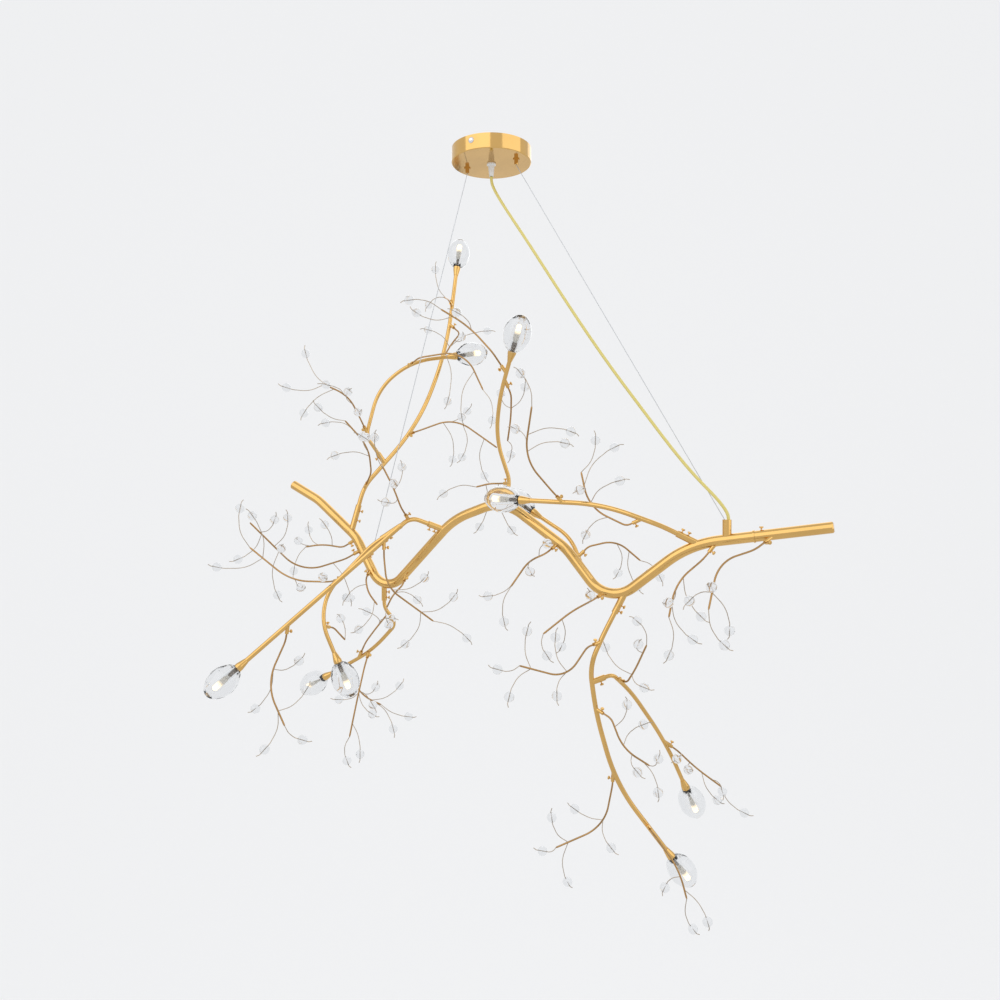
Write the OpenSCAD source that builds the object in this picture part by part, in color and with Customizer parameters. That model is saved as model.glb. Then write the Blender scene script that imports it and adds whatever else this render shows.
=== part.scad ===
// Branch chandelier: a wavy stem hung from a ceiling plate by two steel wires, with ten bent
// branches in swivel sockets. Each branch ends in a lamp in a glass egg, and carries twigs: thin
// bent rods with soldered wires and glass beads. Millimetres, +Z up, origin on the ceiling at the
// middle of the plate, +X to the right and +Y away from the viewer.

/* [Ceiling plate] */
// Outer diameter of the ceiling plate
canopy_d = 120; // [110:1:140]
// Height of the ceiling plate
canopy_h = 22; // [20:0.5:30]
// Sheet thickness of the ceiling plate
canopy_wall = 1.2; // [0.8:0.1:2]
// Turn of the line through the two wires, seen from above
hang_turn = 25; // [20:1:30]
// Distance between the two wires at the plate
wire_spread = 82; // [70:1:90]
// Turn of the fixing bar inside the plate
bar_turn = 61; // [55:1:70]
// Width of the fixing bar
bar_w = 18; // [14:1:22]
// Thickness of the fixing bar
bar_t = 2; // [1.5:0.1:3]
// Diameter of the ceiling screw holes
fixing_hole_d = 4.5; // [3.5:0.1:5.5]
// Distance between the ceiling screw holes
fixing_pitch = 100; // [96:1:102]

/* [Suspension] */
// Diameter of the steel wires
hang_wire_d = 1.2; // [0.8:0.1:2]
// Length of the wire grippers below the plate
gripper_len = 8; // [6:0.5:12]
// Outer diameter of the wire grippers
gripper_d = 6; // [5:0.5:8]
// Length of the cable gland below the plate
gland_len = 19; // [14:0.5:24]
// Thread diameter of the cable gland
gland_thread_d = 10; // [8:0.5:12]
// Diameter of the power cable
cable_d = 4.4; // [3.6:0.1:5]

/* [Stem] */
// Outer diameter of the stem
stem_od = 15; // [13:0.5:17]
// Wall of the stem
stem_wall = 1.2; // [0.8:0.1:2]
// Length of the plug-on end piece of the stem
end_piece_len = 95; // [85:1:105]
// Outer diameter of the hanger post
post_od = 12; // [11:0.5:14]
// Height of the hanger post above the middle of the stem
post_h = 27; // [24:1:34]

/* [Branches] */
// Outer diameter of the four main branches
main_od = 7; // [6:0.1:8]
// Outer diameter of the six side branches
side_od = 6; // [5:0.1:6.5]
// Wall of the branch tubes
tube_wall = 0.8; // [0.6:0.1:1]
// Wall of the branch sockets
socket_wall = 1.2; // [1:0.1:1.6]
// Running gap all round a branch in its socket
swivel_gap = 0.08; // [0.05:0.01:0.1]

/* [Lamps] */
// Diameter of the glass eggs
egg_d = 40; // [36:1:46]
// Length of the glass eggs
egg_len = 56; // [52:1:62]
// Diameter of the hollow in the glass eggs
egg_bore_d = 10.6; // [10:0.1:12]
// Length of the lamp cups
cup_len = 14; // [12:0.5:18]
// Wide diameter of the lamp cups
cup_d = 12.4; // [12.2:0.1:14]
// Diameter of the lampholders
holder_d = 7; // [6:0.1:7.4]
// Length of the lampholders
holder_len = 24; // [16:0.5:26]
// Diameter of the bulbs
bulb_d = 8.6; // [7:0.1:9.4]
// Length of the bulbs
bulb_len = 24; // [18:0.5:26]
// Diameter of the two-core lead in each branch
lead_d = 2.4; // [1.6:0.1:3]

/* [Twigs] */
// Diameter of the twig rods
rod_d = 2.6; // [2:0.1:3]
// Wall of the twig sockets
twig_socket_wall = 1.3; // [1:0.1:1.6]
// Grip length of the twig sockets
twig_grip = 8; // [6:0.5:10]
// Diameter of the bead wires
wire_d = 1.1; // [0.8:0.1:1.4]
// Diameter of the glass beads
bead_d = 14; // [11:0.5:16]
// Shank diameter of the thumbscrews
screw_d = 2; // [1.6:0.1:2.4]
// Head diameter of the thumbscrews
screw_head_d = 5.4; // [4:0.2:6]

/* [Hidden] */
$fn = 48;
BRANCHES = [1, 2, 3, 4, 5, 6, 7, 8, 9, 10];

// Small clearances: a part held in a hole, a screw tip off the tube it holds, a wire in a bead.
hold_gap = 0.1;
tip_gap = 0.15;
bead_gap = 0.15;

// The stem runs in one upright plane: [along the plane, height], with a bend radius for each point.
STEM_RUN = [
    [-370, -505], [-320, -530], [-245, -590], [-190, -685], [-65, -560],
    [20, -530], [120, -600], [185, -680], [300, -590], [480, -565]];
STEM_BENDS = [0, 90, 60, 33, 120, 70, 90, 45, 150, 0];

// One row a branch: what it plugs into ("stem" is 0), how far along that, tube size, socket
// length, side of its thumbscrews, and its bend points measured from there.
MAIN = 1;
SIDE = 0;
BRANCH_ROWS = [
    [0, 140, MAIN, 46, -1, [[20, 5, 75], [105, 50, 180], [150, 95, 315], [165, 125, 455]]],
    [1, 130, SIDE, 20, 1, [[-30, -5, 45], [-10, 0, 125], [45, 5, 170], [105, 20, 180]]],
    [0, 505, SIDE, 26, -1, [[5, 0, 40], [-15, -15, 100], [-10, -30, 160], [5, -60, 210]]],
    [0, 860, MAIN, 34, -1, [[-50, 5, 25], [-130, 25, 55], [-230, 65, 60]]],
    [0, 390, MAIN, 28, 1, [[-50, -20, 20], [-270, -130, -180]]],
    [0, 245, SIDE, 28, 1, [[0, 0, -40], [20, 5, -65], [-25, 35, -115], [-100, 70, -160]]],
    [5, 75, SIDE, 36, 1, [[-45, 0, -30], [-110, -15, -100], [-115, -25, -145], [-95, -30, -190]]],
    [9, 140, SIDE, 20, -1, [[30, 5, 10], [60, 25, -20], [115, 55, -100], [145, 75, -165]]],
    [0, 735, MAIN, 34, 1,
        [[-30, 5, -60], [-50, 5, -105], [-40, 15, -175], [-10, 25, -280], [65, 40, -380]]],
    [0, 670, SIDE, 26, 1, [[-5, 35, 15], [-20, 50, 55], [-65, 70, 85]]]];

// One row a twig: what it plugs into, how far along that, the rod's bend points from there, and
// its beads: how far along the rod the wire starts (0 to 1), and the bead's place from that point.
TWIG_ROWS = [
    [1, 75, [[15, -25, 25], [15, -55, 65], [-20, -65, 105]],
        [[0.5, -50, -25, 0], [0.55, 5, -55, 20], [0.85, -50, 25, 15], [1, -40, -10, 20]]],
    [1, 195, [[20, -15, 5], [80, -30, 25], [150, -40, -25]],
        [[0.4, 15, 20, -60], [0.4, 40, 5, 20], [0.6, 0, -30, -55], [0.85, 0, 20, -60]]],
    [1, 415, [[20, -20, -20], [5, -30, -40], [-5, -40, -60]],
        [[0.6, 15, -30, 0], [0.8, 65, 10, 30], [0.8, -35, -25, 25]]],
    [1, 450, [[-5, -25, 5], [-10, -65, 0]],
        [[0.7, -20, 20, 55], [1, -25, -10, -15]]],
    [2, 55, [[-10, -15, 25], [-25, -40, 60], [-60, -60, 75]],
        [[0.45, 10, -25, -10], [0.5, 0, -45, 15], [0.7, -20, -40, 10], [0.85, -50, 20, 60],
        [0.85, -45, -15, -40], [1, -60, 0, -5]]],
    [2, 195, [[20, -25, 10], [95, -35, 20], [125, -40, -45]],
        [[0.45, 5, -20, -80], [0.8, -20, -5, -75], [1, 15, -10, -50]]],
    [3, 205, [[-20, 0, 30], [-55, 10, 70], [-95, 15, 95]],
        [[0.6, -20, -25, 20], [0.85, -55, 20, 10], [1, -45, -15, 10]]],
    [3, 195, [[10, 20, -20], [10, 45, -50], [5, 60, -85]],
        [[0.5, -15, 20, 25], [0.5, 20, -15, 30], [1, 5, 10, -20]]],
    [3, 35, [[-15, 20, 0], [-30, 30, 0], [-50, 35, -5]],
        [[0.4, 20, -15, -70], [0.75, -10, 10, -65], [1, -50, -5, -10]]],
    [4, 200, [[-15, -10, 15], [-55, -30, 60], [-45, -45, 130]],
        [[0.6, 50, -20, 10], [0.65, -15, 20, 25], [0.75, 60, 10, 5], [1, -15, 0, 45]]],
    [4, 85, [[-20, 10, -10], [-70, 30, 15], [-80, 35, 65]],
        [[0.4, -30, 15, -25], [0.65, 35, -40, 30], [0.8, -10, -25, 0], [0.85, 45, 15, 55],
        [1, 20, 0, 45]]],
    [5, 60, [[-10, -20, 20], [-20, -30, 50], [-35, -35, 80]],
        [[0.45, -15, -20, -5], [0.6, 10, 15, 35], [0.65, 5, -30, 5], [1, -30, 0, 45],
        [0.85, -15, -25, 55]]],
    [5, 295, [[-5, 5, -25], [-30, -5, -85], [0, -20, -140]],
        [[0.45, 40, -15, 15], [0.45, -30, 15, -60], [0.85, 35, 20, 25], [0.85, -15, -15, -50],
        [1, 25, 0, -20]]],
    [5, 200, [[-20, 25, -5], [-80, 40, -5], [-145, 50, 45]],
        [[0.25, 10, -35, 10], [0.5, 15, -25, -10], [0.85, -75, 15, -15], [0.85, -10, -20, 65],
        [1, -15, 0, 60]]],
    [5, 110, [[0, 0, -25], [5, -5, -70], [75, -10, -120]],
        [[0.5, 50, -20, 20], [0.85, -25, 15, -50], [0.85, 50, -20, 25], [1, 50, 0, -25]]],
    [6, 145, [[-5, -20, -25], [-15, -30, -75], [-25, -40, -130]],
        [[0.5, -35, 15, -15], [0.5, 25, -20, -30], [0.85, 15, -15, -45], [1, -5, 5, -40]]],
    [6, 195, [[5, -5, -20], [30, -20, -50], [60, -30, -60]],
        [[0.6, 25, -20, 15], [0.55, 25, -30, -15], [0.8, 45, 15, 20], [0.85, 35, -20, -40],
        [1, 45, 0, -20]]],
    [6, 170, [[15, -20, 30], [30, -30, 50], [50, -30, 75]],
        [[0.8, 25, -35, 15], [0.85, -20, -15, 20]]],
    [7, 200, [[10, 20, -5], [25, 30, -25]],
        [[1, -10, 20, 30]]],
    [9, 80, [[-20, -15, -5], [-50, -30, -45], [-115, -45, -25]],
        [[0.5, -15, 15, 45], [0.5, -15, -15, -30], [0.88, -5, 10, 50], [0.88, -30, -15, -35],
        [1, -30, 0, -5]]],
    [9, 180, [[20, -15, -10], [35, -25, -50], [70, -35, -70]],
        [[0.35, 15, -15, 35], [0.6, 30, 15, 25], [0.75, 5, -15, -20], [0.9, 20, -10, -40],
        [1, 15, 15, 5]]],
    [9, 275, [[0, 10, -25], [-10, 25, -90], [-80, 35, -125]],
        [[0.5, -40, 15, 10], [0.5, 10, -15, -35], [0.88, -25, -10, 40], [0.88, 0, 15, -65],
        [1, -20, 0, -5]]],
    [9, 370, [[10, -30, -10], [40, -35, -50], [50, -40, -90]],
        [[0.75, -20, 10, -20], [0.9, 30, -10, -40], [1, 10, 5, -45]]],
    [8, 45, [[10, -15, 0], [20, -25, 20], [35, -30, 55]],
        [[0.4, -35, 20, 35], [0.4, 15, -15, -15], [0.85, -10, -20, 15], [1, -15, -10, 35]]],
    [8, 175, [[25, 15, -20], [55, 30, -50], [95, 35, -80]],
        [[0.3, -10, -30, 0], [0.5, -10, -35, 0], [0.7, 15, -35, -30], [0.85, 10, -25, -10],
        [1, 35, 0, -40]]],
    [10, 50, [[15, 0, 15], [55, -10, 25], [90, -10, -5]],
        [[0.6, 5, 25, -45], [0.8, 15, 20, -55], [1, 30, 5, -25]]],
    [0, 885, [[-20, 0, -25], [-60, -15, -55], [-70, -20, -100]],
        [[0.55, 20, -15, -50], [0.7, -15, -25, -15], [0.85, 30, 10, -50], [1, 0, 0, -50]]],
    [0, 960, [[-30, -10, -20], [-80, -20, -35], [-95, -30, -95]],
        [[0.75, -10, -25, -5], [0.85, -30, -5, -10], [0.85, 25, 10, -50], [1, 20, 0, -45]]],
    [0, 705, [[-20, -15, -10], [-50, -20, -25], [-90, -30, -55]],
        [[0.35, 5, -20, 15], [0.7, 0, 10, -40], [1, 5, 0, -30]]],
    [0, 175, [[-25, -10, -15], [-90, -40, -35], [-165, -60, 45]],
        [[0.25, 30, -10, -55], [0.7, -5, 10, -70], [0.6, -5, -25, 20], [0.75, 25, -15, 45],
        [0.88, -40, 10, -40], [0.9, 30, -25, 20]]],
    [0, 155, [[-25, 10, -15], [-60, 20, -10], [-90, 30, -15]],
        [[0.5, -10, -10, 35], [0.75, -20, 15, 25], [1, -20, 0, -40], [0.9, -15, -25, 10]]],
    [0, 295, [[-5, -15, -20], [-20, -20, -35], [-30, -15, -55]],
        [[0.6, 35, -10, -10], [1, 5, -15, -25]]],
    [0, 210, [[-5, -25, -15], [0, -35, -35], [15, -35, -55]],
        [[0.5, -30, -10, -20], [0.9, -20, -30, -40]]],
    [0, 605, [[-20, -15, -15], [-45, -25, -25], [-70, -35, -60]],
        [[0.4, 10, -30, 20], [0.5, -5, -25, -15], [0.88, -40, 10, -25], [1, -10, 0, -50]]]];

// The power cable's route, hanging free from the gland to the hanger post: chosen by hand, and
// drawn as a smooth spline that these points steer.
CABLE_ROUTE = [
    [0, 0, -42], [0, 0, -50], [4, -2, -62], [20, -12, -92], [48, -25, -138], [78, -40, -190],
    [110, -55, -245], [143, -70, -300], [178, -86, -355], [214, -103, -408], [247, -120, -458],
    [278, -136, -500], [304, -148, -528], [318, -150, -548], [318, -150, -556],
    [318, -150, -564]];
CABLE_SIDES = 10;
CABLE_STEPS = 4;

// ---- Vectors and bent paths ----

function unit(v) = v / norm(v);

// How far a path turns at point i, in degrees.
function turn(P, i) = acos(max(-1, min(1, unit(P[i] - P[i - 1]) * unit(P[i + 1] - P[i]))));

// How much of each leg the bend at point i takes up. Without given bend radii, it is as large as
// the legs allow, and leaves the first leg mostly straight for its socket.
function trim(P, R, i) =
    (i <= 0 || i >= len(P) - 1) ? 0 :
    turn(P, i) < 1 ? 0 :
    len(R) > 0 ? min(R[i] * tan(turn(P, i) / 2), 0.48 * norm(P[i] - P[i - 1]),
        0.48 * norm(P[i + 1] - P[i])) :
    min((i == 1 ? 0.25 : 0.48) * norm(P[i] - P[i - 1]),
        (i == len(P) - 2 ? 0.8 : 0.48) * norm(P[i + 1] - P[i]));

function bend_r(P, R, i) = trim(P, R, i) / tan(turn(P, i) / 2);

function bend_len(P, R, i) =
    trim(P, R, i) > 0 ? bend_r(P, R, i) * turn(P, i) * PI / 180 : 0;

function leg_len(P, R, i) = norm(P[i + 1] - P[i]) - trim(P, R, i) - trim(P, R, i + 1);

function leg_start(P, R, i) =
    i == 0 ? 0 : leg_start(P, R, i - 1) + leg_len(P, R, i - 1) + bend_len(P, R, i);

function path_len(P, R) = leg_start(P, R, len(P) - 2) + leg_len(P, R, len(P) - 2);

function bend_axis(P, i) = unit(cross(P[i] - P[i - 1], P[i + 1] - P[i]));

// Place and direction at an angle into the bend at point i.
function bend_at(P, R, i, angle) =
    let (d = unit(P[i] - P[i - 1]), m = cross(bend_axis(P, i), d), r = bend_r(P, R, i))
    [P[i] - trim(P, R, i) * d + r * sin(angle) * d + r * (1 - cos(angle)) * m,
        cos(angle) * d + sin(angle) * m];

// Place and direction at a length s along a path.
function path_at(P, R, s, i = 0) =
    let (d = unit(P[i + 1] - P[i]), a = leg_len(P, R, i), b = bend_len(P, R, i + 1))
    (s <= a || i >= len(P) - 2) ? [P[i] + (trim(P, R, i) + s) * d, d] :
    s <= a + b ? bend_at(P, R, i + 1, (s - a) * 180 / PI / bend_r(P, R, i + 1)) :
    path_at(P, R, s - a - b, i + 1);

function frame(p, x, y, z) = [
    [x[0], y[0], z[0], p[0]], [x[1], y[1], z[1], p[1]], [x[2], y[2], z[2], p[2]], [0, 0, 0, 1]];

// Stands its children at p, with their +Z along z.
module aim(p, z) {
    up = abs(z[2]) > 0.9 ? [1, 0, 0] : [0, 0, 1];
    x = unit(cross(up, z));
    multmatrix(frame(p, x, cross(z, x), z)) children();
}

// A round rod or bar along a path, between two lengths along it. Each bend is drawn a little
// slimmer and reaches into the straight legs on both sides, so that the pieces join inside them.
bend_slim = 0.04;
bend_reach = 0.2;
module bent_rod(P, R, d, from = 0, to = 10000) {
    for (i = [0 : len(P) - 2]) {
        start = leg_start(P, R, i);
        a = max(from, start);
        b = min(to, start + leg_len(P, R, i));
        along = unit(P[i + 1] - P[i]);
        if (b > a)
            aim(P[i] + (trim(P, R, i) + a - start) * along, along) cylinder(d = d, h = b - a);
    }
    for (i = [1 : 1 : len(P) - 2]) if (trim(P, R, i) > 0) {
        start = leg_start(P, R, i) - bend_len(P, R, i);
        a = max(from, start - bend_reach);
        b = min(to, start + bend_len(P, R, i) + bend_reach);
        r = bend_r(P, R, i);
        y = unit(P[i] - P[i - 1]);
        z = bend_axis(P, i);
        m = cross(z, y);
        if (b > a)
            multmatrix(frame(P[i] - trim(P, R, i) * y + r * m, -m, y, z))
                rotate([0, 0, (a - start) / r * 180 / PI])
                rotate_extrude(angle = (b - a) / r * 180 / PI, $fn = 240)
                translate([r, 0]) circle(d = d - bend_slim, $fn = 32);
    }
}

// ---- Layout ----

hang_dir = [cos(hang_turn), -sin(hang_turn), 0];
function row(b) = BRANCH_ROWS[b - 1];
function tube_od(b) = b == 0 ? stem_od : row(b)[2] == MAIN ? main_od : side_od;
function tube_id(b) = tube_od(b) - 2 * (b == 0 ? stem_wall : tube_wall);
function bends(b) = b == 0 ? STEM_BENDS : [];
function stem_point(p) = p[0] * hang_dir + [0, 0, p[1]];
function spine(b) =
    b == 0 ? [for (p = STEM_RUN) stem_point(p)] :
    let (base = path_at(spine(row(b)[0]), bends(row(b)[0]), row(b)[1])[0])
    concat([base], [for (o = row(b)[5]) base + o]);
SPINES = [for (b = [0 : len(BRANCH_ROWS)]) spine(b)];
stem_len = path_len(SPINES[0], STEM_BENDS);
stem_split = stem_len - end_piece_len;

// Where a rod of radius r, plugged in along z at length s of tube b, is clear of that tube.
function clear_of(b, s, z, r) =
    let (t = path_at(SPINES[b], bends(b), s)[1], across = norm(cross(z, t)))
    (tube_od(b) / 2 + r * abs(z * t)) / across;

function socket_dir(b) = unit(SPINES[b][1] - SPINES[b][0]);
function socket_start(b) = clear_of(row(b)[0], row(b)[1], socket_dir(b), tube_od(b) / 2);
function socket_end(b) = row(b)[3];
function socket_od(b) = tube_od(b) + 2 * swivel_gap + 2 * socket_wall;
function socket_side(b) = row(b)[4] * unit(cross(socket_dir(b), [0, 1, 0]));
long_grip = 16;
function socket_screws(b) =
    let (grip = socket_end(b) - socket_start(b))
    [for (f = grip > long_grip ? [0.3, 0.75] : [0.55]) socket_start(b) + f * grip];

TWIGS = [for (t = TWIG_ROWS)
    let (base = path_at(SPINES[t[0]], bends(t[0]), t[1])[0])
    concat([base], [for (o = t[2]) base + o])];
TWIG_COUNT = len(TWIGS);
twig_socket_od = rod_d + 2 * hold_gap + 2 * twig_socket_wall;
rod_end_gap = 0.5;
function twig_dir(k) = unit(TWIGS[k][1] - TWIGS[k][0]);
function twig_start(k) =
    clear_of(TWIG_ROWS[k][0], TWIG_ROWS[k][1], twig_dir(k), rod_d / 2) + rod_end_gap;
function twig_end(k) = twig_start(k) + twig_grip;
// The thumbscrew stands on the side where the carrying tube leans away from the twig.
function twig_side(k) =
    let (
        tube = TWIG_ROWS[k][0],
        z = twig_dir(k),
        t = path_at(SPINES[tube], bends(tube), TWIG_ROWS[k][1])[1])
    (z * t > 0 ? -1 : 1) * unit(t - (t * z) * z);
twig_screw_at = 0.6;

// ---- Bead wires ----

bead_lead = 4; // straight wire before the bead
bead_stub = 2.5; // straight wire after it
tail_len = 5; // bent-over end
wire_bow = 0.14; // how far the wire bows, as a share of its run
WIRE_BENDS = [0, 60, 10, 2.5, 0];

function wire_side(o, k) =
    let (z = unit(o), n = unit(cross(o, [0.2, 1, 0.1])), a = 180 * (k % 2) + 25 * (k % 3 - 1))
    cos(a) * n + sin(a) * cross(z, n);

// Points of the wire of bead j on twig k: rod, bow, before the bead, after it, bent tail.
function wire_path(k, j) =
    let (
        bead = TWIG_ROWS[k][3][j],
        from = path_at(TWIGS[k], [], bead[0] * path_len(TWIGS[k], []))[0],
        o = [bead[1], bead[2], bead[3]],
        n = wire_side(o, j + k),
        e = unit(unit(o) + 0.45 * n),
        near = from + o - (bead_d / 2 + bead_lead) * e,
        bow = (from + near) / 2 - wire_bow * norm(near - from) * n,
        far = from + o + (bead_d / 2 + bead_stub) * e)
    [from, bow, near, far, far + tail_len * unit(e + 0.8 * n)];

function bead_centre(k, j) = let (w = wire_path(k, j))
    w[2] + (bead_d / 2 + bead_lead) * unit(w[3] - w[2]);

// ---- Small parts ----

screw_neck = 2.6; // bare shank between a socket and the screw's head
screw_head_h = 2.2;
drill_over = 1; // how far cuts run past what they cut

// A thumbscrew whose tip stands off the tube it holds, at z along the socket.
module thumbscrew(p, side, r_held, r_socket) {
    aim(p, side) {
        translate([0, 0, r_held + tip_gap])
            cylinder(d = screw_d, h = r_socket - r_held - tip_gap + screw_neck);
        translate([0, 0, r_socket + screw_neck]) cylinder(d = screw_head_d, h = screw_head_h);
    }
}

module screw_hole(p, side, r_socket) {
    aim(p, side) cylinder(d = screw_d + 2 * hold_gap, h = r_socket + drill_over, $fn = 24);
}

module socket_thumbscrews(parent, s_from, s_to) {
    for (b = BRANCHES) if (row(b)[0] == parent && row(b)[1] >= s_from && row(b)[1] < s_to)
        for (z = socket_screws(b))
            thumbscrew(SPINES[b][0] + z * socket_dir(b), socket_side(b),
                tube_od(b) / 2, socket_od(b) / 2);
    for (k = [0 : TWIG_COUNT - 1])
        if (TWIG_ROWS[k][0] == parent && TWIG_ROWS[k][1] >= s_from && TWIG_ROWS[k][1] < s_to)
            thumbscrew(TWIGS[k][0] + (twig_start(k) + twig_screw_at * twig_grip) * twig_dir(k),
                twig_side(k), rod_d / 2, twig_socket_od / 2);
}

// The brazed sockets on one tube, for the branches and twigs that plug into it.
module sockets(parent, s_from, s_to) {
    for (b = BRANCHES) if (row(b)[0] == parent && row(b)[1] >= s_from && row(b)[1] < s_to)
        aim(SPINES[b][0], socket_dir(b)) cylinder(d = socket_od(b), h = socket_end(b));
    for (k = [0 : TWIG_COUNT - 1])
        if (TWIG_ROWS[k][0] == parent && TWIG_ROWS[k][1] >= s_from && TWIG_ROWS[k][1] < s_to)
            aim(TWIGS[k][0], twig_dir(k)) cylinder(d = twig_socket_od, h = twig_end(k));
}

// What is drilled out of them: the bore, a hole for the lead, and the screw holes.
module socket_drillings(parent, s_from, s_to) {
    for (b = BRANCHES) if (row(b)[0] == parent && row(b)[1] >= s_from && row(b)[1] < s_to) {
        aim(SPINES[b][0], socket_dir(b)) {
            cylinder(d = lead_d + 2 * lead_gap, h = socket_end(b));
            translate([0, 0, socket_start(b)])
                cylinder(d = tube_od(b) + 2 * swivel_gap, h = socket_end(b));
        }
        for (z = socket_screws(b))
            screw_hole(SPINES[b][0] + z * socket_dir(b), socket_side(b), socket_od(b) / 2);
    }
    for (k = [0 : TWIG_COUNT - 1])
        if (TWIG_ROWS[k][0] == parent && TWIG_ROWS[k][1] >= s_from && TWIG_ROWS[k][1] < s_to) {
            aim(TWIGS[k][0] + twig_start(k) * twig_dir(k), twig_dir(k))
                cylinder(d = rod_d + 2 * hold_gap, h = twig_end(k));
            screw_hole(TWIGS[k][0] + (twig_start(k) + twig_screw_at * twig_grip) * twig_dir(k),
                twig_side(k), twig_socket_od / 2);
        }
}
lead_gap = 0.8;

// Twig k: its rod and the wires soldered to it, then its beads.
module twig_rod(k) {
    bent_rod(TWIGS[k], [], rod_d, twig_start(k));
    for (j = [0 : len(TWIG_ROWS[k][3]) - 1])
        bent_rod(wire_path(k, j), WIRE_BENDS, wire_d);
}

module beads(k) {
    for (j = [0 : len(TWIG_ROWS[k][3]) - 1]) {
        w = wire_path(k, j);
        aim(bead_centre(k, j), unit(w[3] - w[2])) difference() {
            sphere(d = bead_d);
            cylinder(d = wire_d + 2 * bead_gap, h = bead_d + 2 * drill_over, center = true);
        }
    }
}

// ---- Ceiling set ----

plate_floor = 1.5; // thickness of the ceiling plate's face
edge_bevel = 1;
side_screw_z = -8;
side_screw_d = 4;
side_screw_head_d = 9;
ear_h = 14;
ear_gap = 1.3; // between the bar's ears and the plate's wall
ear_r = canopy_d / 2 - canopy_wall - ear_gap;
grip_flange_d = gripper_d + 4;
grip_flange_h = 1.6;
grip_thread_up = 6; // thread above the plate's face
grip_nut_d = gripper_d + 4;
grip_nut_h = 2.5;
gland_flange_d = gland_thread_d + 3.5;
gland_flange_h = 2;
gland_tip_d = cable_d + 2;
gland_thread_up = 9;
gland_nut_d = gland_thread_d + 6;
gland_nut_h = 4;
pivot_z = -(canopy_h + gripper_len);

module ceiling_bracket() {
    color("lightgray") rotate([0, 0, bar_turn]) difference() {
        union() {
            translate([-ear_r, -bar_w / 2, -bar_t]) cube([2 * ear_r, bar_w, bar_t]);
            for (m = [0, 1]) mirror([m, 0, 0])
                translate([ear_r - bar_t, -bar_w / 2, -ear_h]) cube([bar_t, bar_w, ear_h]);
        }
        for (x = [-1, 1]) translate([x * fixing_pitch / 2, 0, -bar_t - drill_over])
            cylinder(d = fixing_hole_d, h = bar_t + 2 * drill_over);
        translate([0, 0, side_screw_z]) rotate([0, 90, 0])
            cylinder(d = side_screw_d + 2 * hold_gap, h = canopy_d, center = true);
    }
}

module canopy() {
    r = canopy_d / 2;
    color("gold") difference() {
        rotate_extrude($fn = 120) polygon([
            [0, -canopy_h], [r - edge_bevel, -canopy_h], [r, edge_bevel - canopy_h], [r, 0],
            [r - canopy_wall, 0], [r - canopy_wall, plate_floor - canopy_h],
            [0, plate_floor - canopy_h]]);
        for (x = [-1, 1]) translate([0, 0, -canopy_h - drill_over] + x * wire_spread / 2 * hang_dir)
            cylinder(d = gripper_d + 2 * hold_gap, h = plate_floor + 2 * drill_over);
        translate([0, 0, -canopy_h - drill_over])
            cylinder(d = gland_thread_d + 2 * hold_gap, h = plate_floor + 2 * drill_over);
        rotate([0, 0, bar_turn]) translate([0, 0, side_screw_z]) rotate([0, 90, 0])
            cylinder(d = side_screw_d + 2 * hold_gap, h = canopy_d + 2 * drill_over, center = true);
    }
}

module canopy_side_screws() {
    dome_r = side_screw_head_d / 2;
    color("silver") for (a = [0, 180]) rotate([0, 0, bar_turn + a])
        translate([canopy_d / 2, 0, side_screw_z]) rotate([0, 90, 0]) {
            translate([0, 0, ear_r - bar_t - canopy_d / 2 - drill_over])
                cylinder(d = side_screw_d, h = canopy_d / 2 - ear_r + bar_t + drill_over + 1);
            intersection() {
                translate([0, 0, -dome_r / 2]) sphere(r = dome_r * 1.12);
                translate([0, 0, 0.3]) cylinder(r = dome_r, h = dome_r);
            }
        }
}

module wire_grippers() {
    face = -canopy_h;
    color("gold") for (x = [-1, 1]) translate(x * wire_spread / 2 * hang_dir) {
        difference() {
            union() {
                translate([0, 0, face - grip_flange_h])
                    cylinder(d = grip_flange_d, h = grip_flange_h);
                translate([0, 0, pivot_z])
                    cylinder(d = gripper_d, h = gripper_len + plate_floor + grip_thread_up);
            }
            translate([0, 0, pivot_z - drill_over])
                cylinder(d = hang_wire_d + 2 * hold_gap, h = canopy_h, $fn = 24);
        }
        translate([0, 0, face + plate_floor]) difference() {
            cylinder(d = grip_nut_d, h = grip_nut_h, $fn = 6);
            translate([0, 0, -drill_over])
                cylinder(d = gripper_d + 2 * hold_gap, h = grip_nut_h + 2 * drill_over);
        }
    }
}

module cable_gland() {
    color("whitesmoke") difference() {
        union() {
            translate([0, 0, -canopy_h - gland_flange_h])
                cylinder(d = gland_flange_d, h = gland_flange_h);
            translate([0, 0, -canopy_h - gland_len])
                cylinder(d1 = gland_tip_d, d2 = gland_thread_d, h = gland_len - gland_flange_h);
            translate([0, 0, -canopy_h - drill_over])
                cylinder(d = gland_thread_d, h = plate_floor + gland_thread_up + drill_over);
        }
        translate([0, 0, -canopy_h - gland_len - drill_over])
            cylinder(d = cable_d - 0.4, h = gland_len + canopy_h);
    }
}

module gland_nut() {
    color("whitesmoke") translate([0, 0, plate_floor - canopy_h]) difference() {
        cylinder(d = gland_nut_d, h = gland_nut_h, $fn = 6);
        translate([0, 0, -drill_over])
            cylinder(d = gland_thread_d + 2 * hold_gap, h = gland_nut_h + 2 * drill_over);
    }
}

// The block and the driver hang under the two arms of the bar.
inner_start = 17; // from the middle of the plate
block_size = [26, 22, 11];
driver_size = [27, 46, 14];
pole_pitch = 10;

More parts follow.
